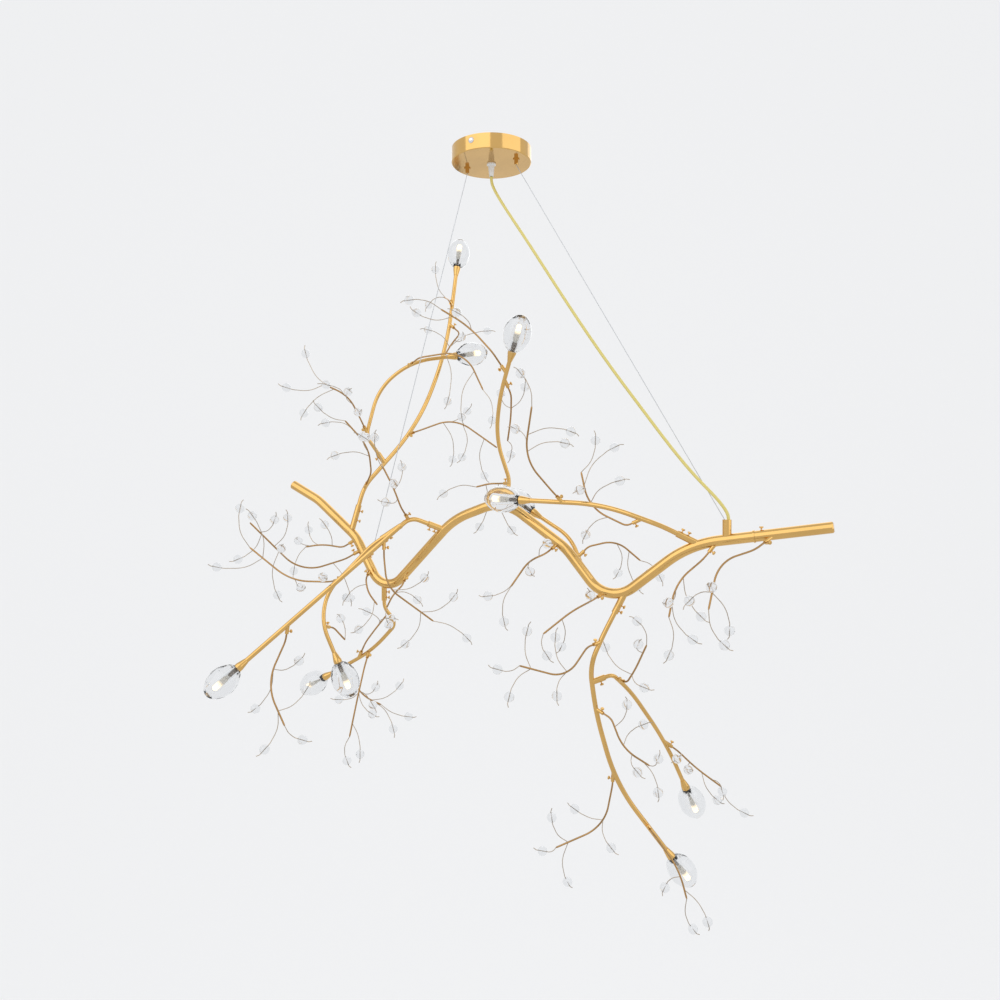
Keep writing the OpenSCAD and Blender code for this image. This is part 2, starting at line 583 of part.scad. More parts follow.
module terminal_block() {
    color("white") rotate([0, 0, bar_turn])
        translate([-inner_start - block_size[0], -block_size[1] / 2, -bar_t - block_size[2]])
        difference() {
            cube(block_size);
            for (y = [-1, 1]) translate([-drill_over, block_size[1] / 2 + y * pole_pitch / 2, 4])
                rotate([0, 90, 0]) cylinder(d = 3.5, h = block_size[0] + 2 * drill_over, $fn = 24);
            for (x = [0.25, 0.75], y = [-1, 1])
                translate([x * block_size[0], block_size[1] / 2 + y * pole_pitch / 2, -drill_over])
                cylinder(d = 2.6, h = 4 + drill_over, $fn = 24);
        }
}

module led_driver() {
    color("dimgray") rotate([0, 0, bar_turn])
        translate([inner_start, -driver_size[1] / 2, -bar_t - driver_size[2]]) cube(driver_size);
}

// ---- Suspension ----

post_s = 897;
clip_s = 190;
clip_w = 7;
clip_wall = 2;
clip_ear = 13; // from the stem's middle to the middle of the ear's ball
ear_d = 4.6;
ball_d = 6.4;
wire_seat = 5; // how deep the right steel wire sits in the post
post_wire_at = [-3.4, 1]; // from the post's middle, along the hanging plane and behind it
post_cable_at = [2.2, -1.5];
cable_seat = 4;
fit_gap = 0.05; // round a ring or saddle that seats on the stem
post_base = path_at(SPINES[0], STEM_BENDS, post_s)[0];
post_top = post_base + [0, 0, post_h];
clip_at = path_at(SPINES[0], STEM_BENDS, clip_s);
hang_back = [-hang_dir[1], hang_dir[0], 0];
function on_post(p) = p[0] * hang_dir + p[1] * hang_back;
wire_gap = 0.3;
wire_top_left = [0, 0, pivot_z - wire_gap] - wire_spread / 2 * hang_dir;
wire_top_right = [0, 0, pivot_z - wire_gap] + wire_spread / 2 * hang_dir;
clip_up = unit([0, 0, 1] - clip_at[1][2] * clip_at[1]);
left_wire_foot = clip_at[0] + clip_ear * clip_up;
left_wire_dir = unit(wire_top_left - left_wire_foot);
right_wire_foot = post_top + on_post(post_wire_at);
right_wire_dir = unit(wire_top_right - right_wire_foot);

module hang_wire(from, to) {
    aim(from, unit(to - from)) cylinder(d = hang_wire_d, h = norm(to - from), $fn = 24);
}

module suspension_wires() {
    color("darkgray") {
        hang_wire(left_wire_foot, wire_top_left);
        hang_wire(right_wire_foot - wire_seat * right_wire_dir, wire_top_right);
    }
}

module wire_clip() {
    color("gold") difference() {
        union() {
            aim(clip_at[0], clip_at[1])
                cylinder(d = stem_od + 2 * clip_wall, h = clip_w, center = true);
            aim(clip_at[0], clip_up) cylinder(d = ear_d, h = clip_ear);
            translate(left_wire_foot) sphere(d = ball_d);
        }
        aim(clip_at[0], clip_at[1])
            cylinder(d = stem_od + 2 * fit_gap, h = 4 * clip_w, center = true);
        aim(left_wire_foot, left_wire_dir)
            cylinder(d = hang_wire_d + 2 * bead_gap, h = ball_d, $fn = 24);
    }
}

module hanger_post() {
    cable_x = on_post(post_cable_at);
    color("gold") difference() {
        translate(post_base) cylinder(d = post_od, h = post_h);
        bent_rod(SPINES[0], STEM_BENDS, stem_od + 2 * fit_gap, post_s - 2 * post_od,
            post_s + 2 * post_od);
        aim(right_wire_foot - wire_seat * right_wire_dir, right_wire_dir)
            cylinder(d = hang_wire_d + 2 * bead_gap, h = 2 * wire_seat, $fn = 24);
        translate(post_top + cable_x - [0, 0, cable_seat])
            cylinder(d = cable_d + 2 * bead_gap, h = cable_seat + drill_over);
        translate(post_base + cable_x) cylinder(d = cable_d - 1, h = post_h);
        translate(post_base) cylinder(d = post_od - 4, h = post_h - cable_seat - 4);
    }
}

// Points along the cable: straight out of the gland, the free spline, straight into the post.
function spline(a, b, c, d, t) =
    ((1 - t) * (1 - t) * (1 - t) * a + (3 * t * t * t - 6 * t * t + 4) * b
    + (3 * t * (1 + t - t * t) + 1) * c + t * t * t * d) / 6;
cable_swing_gap = 0.8; // between the gland's tip and the cable, which swings with the stem
cable_start = [0, 0, -canopy_h - gland_len - cable_swing_gap];
cable_end = post_top + on_post(post_cable_at) - [0, 0, cable_seat];
cable_last = len(CABLE_ROUTE) - 1;
CABLE_LINE = concat(
    [cable_start, cable_start - [0, 0, cable_d]],
    [for (i = [0 : cable_last - 3], j = [0 : CABLE_STEPS - 1])
        spline(CABLE_ROUTE[i], CABLE_ROUTE[i + 1], CABLE_ROUTE[i + 2], CABLE_ROUTE[i + 3],
            j / CABLE_STEPS)],
    [cable_end + [0, 0, cable_seat], cable_end]);

function line_dir(L, i) =
    i == 0 ? unit(L[1] - L[0]) :
    i == len(L) - 1 ? unit(L[i] - L[i - 1]) :
    unit(unit(L[i + 1] - L[i]) + unit(L[i] - L[i - 1]));

module swept_cord(L, d, n) {
    rings = [for (i = [0 : len(L) - 1])
        let (z = line_dir(L, i), x = unit(cross([0.4, 0.9, 0.1], z)), y = cross(z, x))
        each [for (k = [0 : n - 1])
            L[i] + d / 2 * (cos(360 * k / n) * x + sin(360 * k / n) * y)]];
    last = len(L) - 1;
    polyhedron(
        points = concat(rings, [L[0], L[last]]),
        faces = concat(
            [for (i = [0 : last - 1], k = [0 : n - 1])
                [i * n + k, i * n + (k + 1) % n, (i + 1) * n + k]],
            [for (i = [0 : last - 1], k = [0 : n - 1])
                [i * n + (k + 1) % n, (i + 1) * n + (k + 1) % n, (i + 1) * n + k]],
            [for (k = [0 : n - 1]) [len(L) * n, (k + 1) % n, k]],
            [for (k = [0 : n - 1]) [len(L) * n + 1, last * n + k, last * n + (k + 1) % n]]));
}

module power_cable() {
    color("goldenrod") swept_cord(CABLE_LINE, cable_d, CABLE_SIDES);
}

// ---- Stem ----

spigot_len = 18;
spigot_root = 8; // of it, inside the main stem
spigot_wall = 1.6;
spigot_d = stem_od - 2 * stem_wall - 2 * hold_gap;
collar_len = 2;
collar_wall = 1;
collar_lip = 1; // the collar reaches this far past the tube
LOCK_SCREWS = [[8, 1], [15, -1]]; // distance past the collar, and up or down
cap_h = 3;
stem_id = stem_od - 2 * stem_wall;

module main_stem() {
    color("gold") difference() {
        union() {
            bent_rod(SPINES[0], STEM_BENDS, stem_od, 0, stem_split - collar_lip);
            sockets(0, 0, stem_split);
            bent_rod(SPINES[0], STEM_BENDS, stem_od + 2 * collar_wall,
                stem_split - collar_len, stem_split);
            bent_rod(SPINES[0], STEM_BENDS, spigot_d,
                stem_split - collar_len, stem_split + spigot_len);
        }
        bent_rod(SPINES[0], STEM_BENDS, stem_id, 0, stem_split - spigot_root);
        bent_rod(SPINES[0], STEM_BENDS, spigot_d - 2 * spigot_wall,
            stem_split - spigot_root - drill_over, stem_split + spigot_len + drill_over);
        socket_drillings(0, 0, stem_split);
        translate(post_base) cylinder(d = cable_d + 2, h = stem_od);
    }
}

function lock_point(screw) = path_at(SPINES[0], STEM_BENDS, stem_split + screw[0])[0];

module stem_end_piece() {
    color("gold") difference() {
        union() {
            bent_rod(SPINES[0], STEM_BENDS, stem_od, stem_split + hold_gap, stem_len);
            sockets(0, stem_split, stem_len);
        }
        bent_rod(SPINES[0], STEM_BENDS, stem_id, stem_split, stem_len + drill_over);
        socket_drillings(0, stem_split, stem_len);
        for (screw = LOCK_SCREWS)
            screw_hole(lock_point(screw), [0, 0, screw[1]], stem_od / 2);
    }
}

// Push-in caps: a plug inside the tube and a rounded face.
module end_cap(p, out) {
    aim(p, out) {
        cylinder(d = stem_od, h = cap_h / 2);
        translate([0, 0, cap_h / 2])
            cylinder(d1 = stem_od, d2 = stem_od - cap_h, h = cap_h / 2);
        translate([0, 0, -2 * cap_h]) cylinder(d = cap_plug_d, h = 2 * cap_h);
    }
}
cap_plug_d = stem_id - 2 * hold_gap;

module stem_end_caps() {
    left = path_at(SPINES[0], STEM_BENDS, 0);
    right = path_at(SPINES[0], STEM_BENDS, stem_len);
    color("gold") {
        end_cap(left[0], -left[1]);
        end_cap(right[0], right[1]);
    }
}

module stem_thumbscrews() {
    color("gold") {
        socket_thumbscrews(0, 0, stem_len);
        for (screw = LOCK_SCREWS)
            thumbscrew(lock_point(screw), [0, 0, screw[1]], spigot_d / 2, stem_od / 2);
    }
}

harness_d = 5;
harness_start = 40;
harness_end = stem_split - spigot_len;
harness_drop = (stem_id - harness_d) / 2 - 0.3; // the wires lie on the floor of the stem

module stem_wiring() {
    color("white") translate([0, 0, -harness_drop])
        bent_rod(SPINES[0], STEM_BENDS, harness_d, harness_start, harness_end);
}

module stem_twigs() {
    color("goldenrod") for (k = [0 : TWIG_COUNT - 1]) if (TWIG_ROWS[k][0] == 0) twig_rod(k);
}

module stem_beads() {
    color("azure") for (k = [0 : TWIG_COUNT - 1]) if (TWIG_ROWS[k][0] == 0) beads(k);
}

// ---- Branches, with +Z of each lamp along the end of its tube ----

holder_floor = 6; // the lampholder's seat, from the tube's end
cup_back = 2; // how far the cup reaches back over the tube
cup_rim = 4; // straight rim of the cup
spigot_up = 3; // spigot that centres the egg
pin_pitch = 4;
pin_d = 0.8;
pin_len = 5;
egg_cut = 2; // flat ground off the egg's neck end
bulb_room = 1.5; // free space round the bulb's tip
bulb_base = holder_floor + holder_len;
cup_spigot_d = egg_bore_d - 2 * hold_gap;
cup_hole_d = lead_d + 1.4; // through the cup, for the lead and its boot
boot_d = lead_d + 0.6;
socket_reach = 10000;

module at_lamp(b) {
    last = len(SPINES[b]) - 1;
    aim(SPINES[b][last], unit(SPINES[b][last] - SPINES[b][last - 1])) children();
}

module branch_tube(b) {
    wall_r = tube_od(b) / 2;
    end_of_tube = path_len(SPINES[b], []);
    color("gold") difference() {
        union() {
            bent_rod(SPINES[b], [], tube_od(b), socket_start(b));
            sockets(b, 0, socket_reach);
            at_lamp(b) rotate_extrude() polygon([
                [0, -cup_back], [wall_r + 0.4, -cup_back], [cup_d / 2, cup_len - cup_rim],
                [cup_d / 2, cup_len], [cup_spigot_d / 2, cup_len],
                [cup_spigot_d / 2, cup_len + spigot_up], [0, cup_len + spigot_up]]);
        }
        bent_rod(SPINES[b], [], tube_id(b), socket_start(b) - drill_over, end_of_tube);
        at_lamp(b) {
            translate([0, 0, -cup_back]) cylinder(d = cup_hole_d, h = cup_len);
            translate([0, 0, holder_floor]) cylinder(d = holder_d + 2 * hold_gap, h = egg_len);
        }
        socket_drillings(b, 0, socket_reach);
    }
}

// Lampholder with its lead, and the bulb that plugs into it.
module branch_lamp(b) {
    color("ivory") {
        bent_rod(SPINES[b], [], lead_d, socket_start(b));
        at_lamp(b) {
            translate([0, 0, -1]) cylinder(d = boot_d, h = holder_floor + 1);
            difference() {
                translate([0, 0, holder_floor]) cylinder(d = holder_d, h = holder_len);
                for (x = [-1, 1]) translate([x * pin_pitch / 2, 0, bulb_base - pin_len - drill_over])
                    cylinder(d = pin_d + 2 * hold_gap, h = pin_len + 2 * drill_over, $fn = 16);
            }
            translate([0, 0, bulb_base]) {
                cylinder(d = bulb_d, h = bulb_len - bulb_d / 2);
                translate([0, 0, bulb_len - bulb_d / 2]) sphere(d = bulb_d);
                for (x = [-1, 1]) translate([x * pin_pitch / 2, 0, -pin_len])
                    cylinder(d = pin_d, h = pin_len + drill_over, $fn = 16);
            }
        }
    }
}

// Oval of revolution: two round ends joined by a large arc that meets them smoothly.
module egg_profile() {
    half = egg_len / 2;
    end_r = 0.35 * egg_d;
    end_y = half - end_r;
    swell = egg_d / 2 - end_r;
    back = (end_y * end_y - swell * swell) / (2 * swell);
    reach = 3;
    intersection() {
        translate([0, -half]) square([egg_d, egg_len]);
        union() {
            for (y = [-end_y, end_y]) translate([0, y]) circle(r = end_r);
            intersection() {
                translate([-back, 0]) circle(r = back + egg_d / 2, $fn = 240);
                polygon([[-back, 0], [reach * back, -(reach + 1) * end_y],
                    [reach * back, (reach + 1) * end_y]]);
            }
        }
    }
}

module glass_egg() {
    bore_top = bulb_base + bulb_len + bulb_room - egg_bore_d / 2;
    difference() {
        translate([0, 0, cup_len + egg_len / 2 - egg_cut]) rotate_extrude() egg_profile();
        translate([0, 0, cup_len - 2 * egg_cut]) cylinder(d = egg_d, h = 2 * egg_cut);
        translate([0, 0, cup_len - drill_over])
            cylinder(d = egg_bore_d, h = bore_top + 2 * drill_over - cup_len);
        translate([0, 0, bore_top]) sphere(d = egg_bore_d);
    }
}

// A branch's clear glass: the egg round its lamp, and the beads on its twigs.
module branch_glass(b) {
    color("azure") {
        at_lamp(b) glass_egg();
        for (k = [0 : TWIG_COUNT - 1]) if (TWIG_ROWS[k][0] == b) beads(k);
    }
}

module branch_twigs(b) {
    color("goldenrod") {
        for (k = [0 : TWIG_COUNT - 1]) if (TWIG_ROWS[k][0] == b) twig_rod(k);
        socket_thumbscrews(b, 0, socket_reach);
    }
}

ceiling_bracket();
canopy();
canopy_side_screws();
wire_grippers();
cable_gland();
gland_nut();
terminal_block();
led_driver();
suspension_wires();
power_cable();
main_stem();
stem_end_piece();
stem_end_caps();
hanger_post();
wire_clip();
stem_thumbscrews();
stem_wiring();
stem_twigs();
stem_beads();
for (b = BRANCHES) {
    branch_tube(b);
    branch_lamp(b);
    branch_glass(b);
    branch_twigs(b);
}
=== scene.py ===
"""Looks of the branch chandelier: gold tubes, glass egg lamps, twigs of wire and glass beads, the
steel ropes and the power cable, with a camera and a plain pale studio."""

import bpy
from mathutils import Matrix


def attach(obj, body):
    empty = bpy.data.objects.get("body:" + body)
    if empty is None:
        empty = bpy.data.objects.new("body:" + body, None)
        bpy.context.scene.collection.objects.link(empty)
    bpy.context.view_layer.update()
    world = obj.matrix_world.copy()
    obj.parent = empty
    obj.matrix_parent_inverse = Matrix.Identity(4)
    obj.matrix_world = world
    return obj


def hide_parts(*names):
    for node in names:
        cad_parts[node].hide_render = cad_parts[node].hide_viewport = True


bl_info = {
    "name": "Branch chandelier",
    "version": (1, 0, 0),
    "blender": (4, 5, 0),
    "location": "3D View > Sidebar > Chandelier",
    "description": "Dresses the branch chandelier's solids with their finishes and fine pieces",
    "category": "Object",
}

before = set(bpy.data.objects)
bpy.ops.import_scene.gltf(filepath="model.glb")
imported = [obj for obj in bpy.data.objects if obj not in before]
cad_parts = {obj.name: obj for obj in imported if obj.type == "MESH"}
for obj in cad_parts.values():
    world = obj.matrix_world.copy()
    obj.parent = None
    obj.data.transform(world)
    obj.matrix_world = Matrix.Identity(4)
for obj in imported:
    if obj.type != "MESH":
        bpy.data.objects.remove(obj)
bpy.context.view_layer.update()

import math

import bmesh
import bpy
from bpy.props import FloatProperty, FloatVectorProperty, IntProperty, PointerProperty
from mathutils import Matrix, Vector, noise

MM = 0.001

# ---- The layout that the solids follow, in millimetres ----

HANG_TURN = math.radians(25)
STEM_DIAMETER = 15
MAIN, SIDE = 7, 6  # tube diameters of the two kinds of branch
STEM_RUN = [
    (-370, -505), (-320, -530), (-245, -590), (-190, -685), (-65, -560),
    (20, -530), (120, -600), (185, -680), (300, -590), (480, -565)]
STEM_BENDS = [0, 90, 60, 33, 120, 70, 90, 45, 150, 0]
STEM_END_PIECE = 95

# What a branch plugs into (0 is the stem), how far along, its tube, its socket's length, the side
# of its thumbscrews, and its bend points from there.
BRANCHES = {
    1: (0, 140, MAIN, 46, -1, [(20, 5, 75), (105, 50, 180), (150, 95, 315), (165, 125, 455)]),
    2: (1, 130, SIDE, 20, 1, [(-30, -5, 45), (-10, 0, 125), (45, 5, 170), (105, 20, 180)]),
    3: (0, 505, SIDE, 26, -1, [(5, 0, 40), (-15, -15, 100), (-10, -30, 160), (5, -60, 210)]),
    4: (0, 860, MAIN, 34, -1, [(-50, 5, 25), (-130, 25, 55), (-230, 65, 60)]),
    5: (0, 390, MAIN, 28, 1, [(-50, -20, 20), (-270, -130, -180)]),
    6: (0, 245, SIDE, 28, 1, [(0, 0, -40), (20, 5, -65), (-25, 35, -115), (-100, 70, -160)]),
    7: (5, 75, SIDE, 36, 1, [(-45, 0, -30), (-110, -15, -100), (-115, -25, -145),
                             (-95, -30, -190)]),
    8: (9, 140, SIDE, 20, -1, [(30, 5, 10), (60, 25, -20), (115, 55, -100), (145, 75, -165)]),
    9: (0, 735, MAIN, 34, 1, [(-30, 5, -60), (-50, 5, -105), (-40, 15, -175), (-10, 25, -280),
                              (65, 40, -380)]),
    10: (0, 670, SIDE, 26, 1, [(-5, 35, 15), (-20, 50, 55), (-65, 70, 85)]),
}

# What a twig plugs into, how far along, its rod's bend points from there, and its beads: how far
# along the rod the wire starts (0 to 1), and the bead's place from that point.
TWIGS = [
    (1, 75, [(15, -25, 25), (15, -55, 65), (-20, -65, 105)],
     [(0.5, -50, -25, 0), (0.55, 5, -55, 20), (0.85, -50, 25, 15), (1, -40, -10, 20)]),
    (1, 195, [(20, -15, 5), (80, -30, 25), (150, -40, -25)],
     [(0.4, 15, 20, -60), (0.4, 40, 5, 20), (0.6, 0, -30, -55), (0.85, 0, 20, -60)]),
    (1, 415, [(20, -20, -20), (5, -30, -40), (-5, -40, -60)],
     [(0.6, 15, -30, 0), (0.8, 65, 10, 30), (0.8, -35, -25, 25)]),
    (1, 450, [(-5, -25, 5), (-10, -65, 0)],
     [(0.7, -20, 20, 55), (1, -25, -10, -15)]),
    (2, 55, [(-10, -15, 25), (-25, -40, 60), (-60, -60, 75)],
     [(0.45, 10, -25, -10), (0.5, 0, -45, 15), (0.7, -20, -40, 10), (0.85, -50, 20, 60),
      (0.85, -45, -15, -40), (1, -60, 0, -5)]),
    (2, 195, [(20, -25, 10), (95, -35, 20), (125, -40, -45)],
     [(0.45, 5, -20, -80), (0.8, -20, -5, -75), (1, 15, -10, -50)]),
    (3, 205, [(-20, 0, 30), (-55, 10, 70), (-95, 15, 95)],
     [(0.6, -20, -25, 20), (0.85, -55, 20, 10), (1, -45, -15, 10)]),
    (3, 195, [(10, 20, -20), (10, 45, -50), (5, 60, -85)],
     [(0.5, -15, 20, 25), (0.5, 20, -15, 30), (1, 5, 10, -20)]),
    (3, 35, [(-15, 20, 0), (-30, 30, 0), (-50, 35, -5)],
     [(0.4, 20, -15, -70), (0.75, -10, 10, -65), (1, -50, -5, -10)]),
    (4, 200, [(-15, -10, 15), (-55, -30, 60), (-45, -45, 130)],
     [(0.6, 50, -20, 10), (0.65, -15, 20, 25), (0.75, 60, 10, 5), (1, -15, 0, 45)]),
    (4, 85, [(-20, 10, -10), (-70, 30, 15), (-80, 35, 65)],
     [(0.4, -30, 15, -25), (0.65, 35, -40, 30), (0.8, -10, -25, 0), (0.85, 45, 15, 55),
      (1, 20, 0, 45)]),
    (5, 60, [(-10, -20, 20), (-20, -30, 50), (-35, -35, 80)],
     [(0.45, -15, -20, -5), (0.6, 10, 15, 35), (0.65, 5, -30, 5), (1, -30, 0, 45),
      (0.85, -15, -25, 55)]),
    (5, 295, [(-5, 5, -25), (-30, -5, -85), (0, -20, -140)],
     [(0.45, 40, -15, 15), (0.45, -30, 15, -60), (0.85, 35, 20, 25), (0.85, -15, -15, -50),
      (1, 25, 0, -20)]),
    (5, 200, [(-20, 25, -5), (-80, 40, -5), (-145, 50, 45)],
     [(0.25, 10, -35, 10), (0.5, 15, -25, -10), (0.85, -75, 15, -15), (0.85, -10, -20, 65),
      (1, -15, 0, 60)]),
    (5, 110, [(0, 0, -25), (5, -5, -70), (75, -10, -120)],
     [(0.5, 50, -20, 20), (0.85, -25, 15, -50), (0.85, 50, -20, 25), (1, 50, 0, -25)]),
    (6, 145, [(-5, -20, -25), (-15, -30, -75), (-25, -40, -130)],
     [(0.5, -35, 15, -15), (0.5, 25, -20, -30), (0.85, 15, -15, -45), (1, -5, 5, -40)]),
    (6, 195, [(5, -5, -20), (30, -20, -50), (60, -30, -60)],
     [(0.6, 25, -20, 15), (0.55, 25, -30, -15), (0.8, 45, 15, 20), (0.85, 35, -20, -40),
      (1, 45, 0, -20)]),
    (6, 170, [(15, -20, 30), (30, -30, 50), (50, -30, 75)],
     [(0.8, 25, -35, 15), (0.85, -20, -15, 20)]),
    (7, 200, [(10, 20, -5), (25, 30, -25)],
     [(1, -10, 20, 30)]),
    (9, 80, [(-20, -15, -5), (-50, -30, -45), (-115, -45, -25)],
     [(0.5, -15, 15, 45), (0.5, -15, -15, -30), (0.88, -5, 10, 50), (0.88, -30, -15, -35),
      (1, -30, 0, -5)]),
    (9, 180, [(20, -15, -10), (35, -25, -50), (70, -35, -70)],
     [(0.35, 15, -15, 35), (0.6, 30, 15, 25), (0.75, 5, -15, -20), (0.9, 20, -10, -40),
      (1, 15, 15, 5)]),
    (9, 275, [(0, 10, -25), (-10, 25, -90), (-80, 35, -125)],
     [(0.5, -40, 15, 10), (0.5, 10, -15, -35), (0.88, -25, -10, 40), (0.88, 0, 15, -65),
      (1, -20, 0, -5)]),
    (9, 370, [(10, -30, -10), (40, -35, -50), (50, -40, -90)],
     [(0.75, -20, 10, -20), (0.9, 30, -10, -40), (1, 10, 5, -45)]),
    (8, 45, [(10, -15, 0), (20, -25, 20), (35, -30, 55)],
     [(0.4, -35, 20, 35), (0.4, 15, -15, -15), (0.85, -10, -20, 15), (1, -15, -10, 35)]),
    (8, 175, [(25, 15, -20), (55, 30, -50), (95, 35, -80)],
     [(0.3, -10, -30, 0), (0.5, -10, -35, 0), (0.7, 15, -35, -30), (0.85, 10, -25, -10),
      (1, 35, 0, -40)]),
    (10, 50, [(15, 0, 15), (55, -10, 25), (90, -10, -5)],
     [(0.6, 5, 25, -45), (0.8, 15, 20, -55), (1, 30, 5, -25)]),
    (0, 885, [(-20, 0, -25), (-60, -15, -55), (-70, -20, -100)],
     [(0.55, 20, -15, -50), (0.7, -15, -25, -15), (0.85, 30, 10, -50), (1, 0, 0, -50)]),
    (0, 960, [(-30, -10, -20), (-80, -20, -35), (-95, -30, -95)],
     [(0.75, -10, -25, -5), (0.85, -30, -5, -10), (0.85, 25, 10, -50), (1, 20, 0, -45)]),
    (0, 705, [(-20, -15, -10), (-50, -20, -25), (-90, -30, -55)],
     [(0.35, 5, -20, 15), (0.7, 0, 10, -40), (1, 5, 0, -30)]),
    (0, 175, [(-25, -10, -15), (-90, -40, -35), (-165, -60, 45)],
     [(0.25, 30, -10, -55), (0.7, -5, 10, -70), (0.6, -5, -25, 20), (0.75, 25, -15, 45),
      (0.88, -40, 10, -40), (0.9, 30, -25, 20)]),
    (0, 155, [(-25, 10, -15), (-60, 20, -10), (-90, 30, -15)],
     [(0.5, -10, -10, 35), (0.75, -20, 15, 25), (1, -20, 0, -40), (0.9, -15, -25, 10)]),
    (0, 295, [(-5, -15, -20), (-20, -20, -35), (-30, -15, -55)],
     [(0.6, 35, -10, -10), (1, 5, -15, -25)]),
    (0, 210, [(-5, -25, -15), (0, -35, -35), (15, -35, -55)],
     [(0.5, -30, -10, -20), (0.9, -20, -30, -40)]),
    (0, 605, [(-20, -15, -15), (-45, -25, -25), (-70, -35, -60)],
     [(0.4, 10, -30, 20), (0.5, -5, -25, -15), (0.88, -40, 10, -25), (1, -10, 0, -50)]),
]

# The power cable's route: given points that steer a smooth spline.
CABLE_ROUTE = [
    (0, 0, -42), (0, 0, -50), (4, -2, -62), (20, -12, -92), (48, -25, -138), (78, -40, -190),
    (110, -55, -245), (143, -70, -300), (178, -86, -355), (214, -103, -408), (247, -120, -458),
    (278, -136, -500), (304, -148, -528), (318, -150, -548), (318, -150, -556),
    (318, -150, -564)]
CABLE_STEPS = 4
CABLE_SEAT = 4
GLAND_TIP = -41.8  # where the cable starts, just under the gland

WIRE_SPREAD = 82
WIRE_TOP = -30.3
POST_AT, POST_HEIGHT = 897, 27
POST_WIRE, POST_CABLE = (-3.4, 1), (2.2, -1.5)
WIRE_SEAT = 5
CLIP_AT, CLIP_EAR = 190, 13

TWIG_GRIP = 8
SOCKET_WALL, TWIG_SOCKET_WALL = 1.2, 1.3
SWIVEL_GAP, HOLD_GAP, TIP_GAP = 0.08, 0.1, 0.15
LONG_GRIP = 16
TWIG_SCREW_AT = 0.6
SCREW_NECK, SCREW_HEAD = 2.6, 2.2
LOCK_SCREWS = [(8, 1), (15, -1)]
SPIGOT_DIAMETER = 12.4

BEAD_LEAD, BEAD_STUB, TAIL = 4, 2.5, 5
WIRE_BOW = 0.14
WIRE_BENDS = [0, 60, 10, 2.5, 0]

CUP_LENGTH = 14
HOLDER_FLOOR, HOLDER_LENGTH = 6, 24
BULB_BASE = HOLDER_FLOOR + HOLDER_LENGTH
BULB_LENGTH, BULB_SEAT = 24, 4  # the bulb's sleeve starts this far above its base
EGG_CUT = 2
EGG_BORE = 5.3
BULB_ROOM = 1.5


# ---- Bent paths ----

class BentPath:
    """Straight legs joined by round bends, measured in millimetres along it."""

    def __init__(self, points, radii=()):
        self.points = [Vector(p) for p in points]
        self.radii = radii
        self.trims = [self.trim(i) for i in range(len(self.points))]

    def leg(self, i):
        return self.points[i + 1] - self.points[i]

    def turn(self, i):
        return self.leg(i - 1).angle(self.leg(i), 0)

    def trim(self, i):
        last = len(self.points) - 1
        if i in (0, last) or self.turn(i) < math.radians(1):
            return 0
        before, after = self.leg(i - 1).length, self.leg(i).length
        if self.radii:
            return min(self.radii[i] * math.tan(self.turn(i) / 2), 0.48 * before, 0.48 * after)
        return min((0.25 if i == 1 else 0.48) * before, (0.8 if i == last - 1 else 0.48) * after)

    def pieces(self):
        """Each straight leg and bend as (length, function from a length into it to (point, way))."""
        made = []
        for i in range(len(self.points) - 1):
            way = self.leg(i).normalized()
            start = self.points[i] + self.trims[i] * way
            made.append((self.leg(i).length - self.trims[i] - self.trims[i + 1],
                         lambda s, a=start, d=way: (a + s * d, d)))
            if i + 2 < len(self.points) and self.trims[i + 1]:
                turn = self.turn(i + 1)
                radius = self.trims[i + 1] / math.tan(turn / 2)
                axis = self.leg(i).cross(self.leg(i + 1)).normalized()
                inward = axis.cross(way)
                corner = self.points[i + 1] - self.trims[i + 1] * way

                def bend(s, p=corner, d=way, m=inward, r=radius):
                    a = s / r
                    return (p + r * math.sin(a) * d + r * (1 - math.cos(a)) * m,
                            math.cos(a) * d + math.sin(a) * m)
                made.append((radius * turn, bend))
        return made

    def length(self):
        return sum(size for size, _ in self.pieces())

    def at(self, s):
        """The point and direction at a length along the path."""
        pieces = self.pieces()
        for size, place in pieces[:-1]:
            if s <= size:
                return place(s)
            s -= size
        return pieces[-1][1](s)

    def samples(self, start=0, end=None, step=3):
        """Points along the path, close enough for its bends."""
        end = self.length() if end is None else end
        count = max(2, math.ceil((end - start) / step) + 1)
        return [self.at(start + (end - start) * i / (count - 1))[0] for i in range(count)]


HANG_WAY = Vector((math.cos(HANG_TURN), -math.sin(HANG_TURN), 0))
HANG_BACK = Vector((math.sin(HANG_TURN), math.cos(HANG_TURN), 0))
SPINES = {0: BentPath([along * HANG_WAY + Vector((0, 0, up)) for along, up in STEM_RUN],
                      STEM_BENDS)}
for _number in (1, 3, 4, 5, 6, 9, 10, 2, 7, 8):
    _parent, _along, _, _, _, _bends = BRANCHES[_number]
    _base = SPINES[_parent].at(_along)[0]
    SPINES[_number] = BentPath([_base] + [_base + Vector(p) for p in _bends])


def tube_diameter(tube):
    return STEM_DIAMETER if tube == 0 else BRANCHES[tube][2]


def clear_of(tube, along, way, radius):
    """Where a rod plugged into a tube at an angle is clear of it."""
    tube_way = SPINES[tube].at(along)[1]
    across = way.cross(tube_way).length
    return (tube_diameter(tube) / 2 + radius * abs(way.dot(tube_way))) / across


def twig_path(twig):
    base = SPINES[twig[0]].at(twig[1])[0]
    return BentPath([base] + [base + Vector(p) for p in twig[2]])


def twig_start(twig, rod):
    """How far from its tube's middle a twig's rod begins."""
    path = twig_path(twig)
    return clear_of(twig[0], twig[1], path.leg(0).normalized(), rod / 2) + 0.5


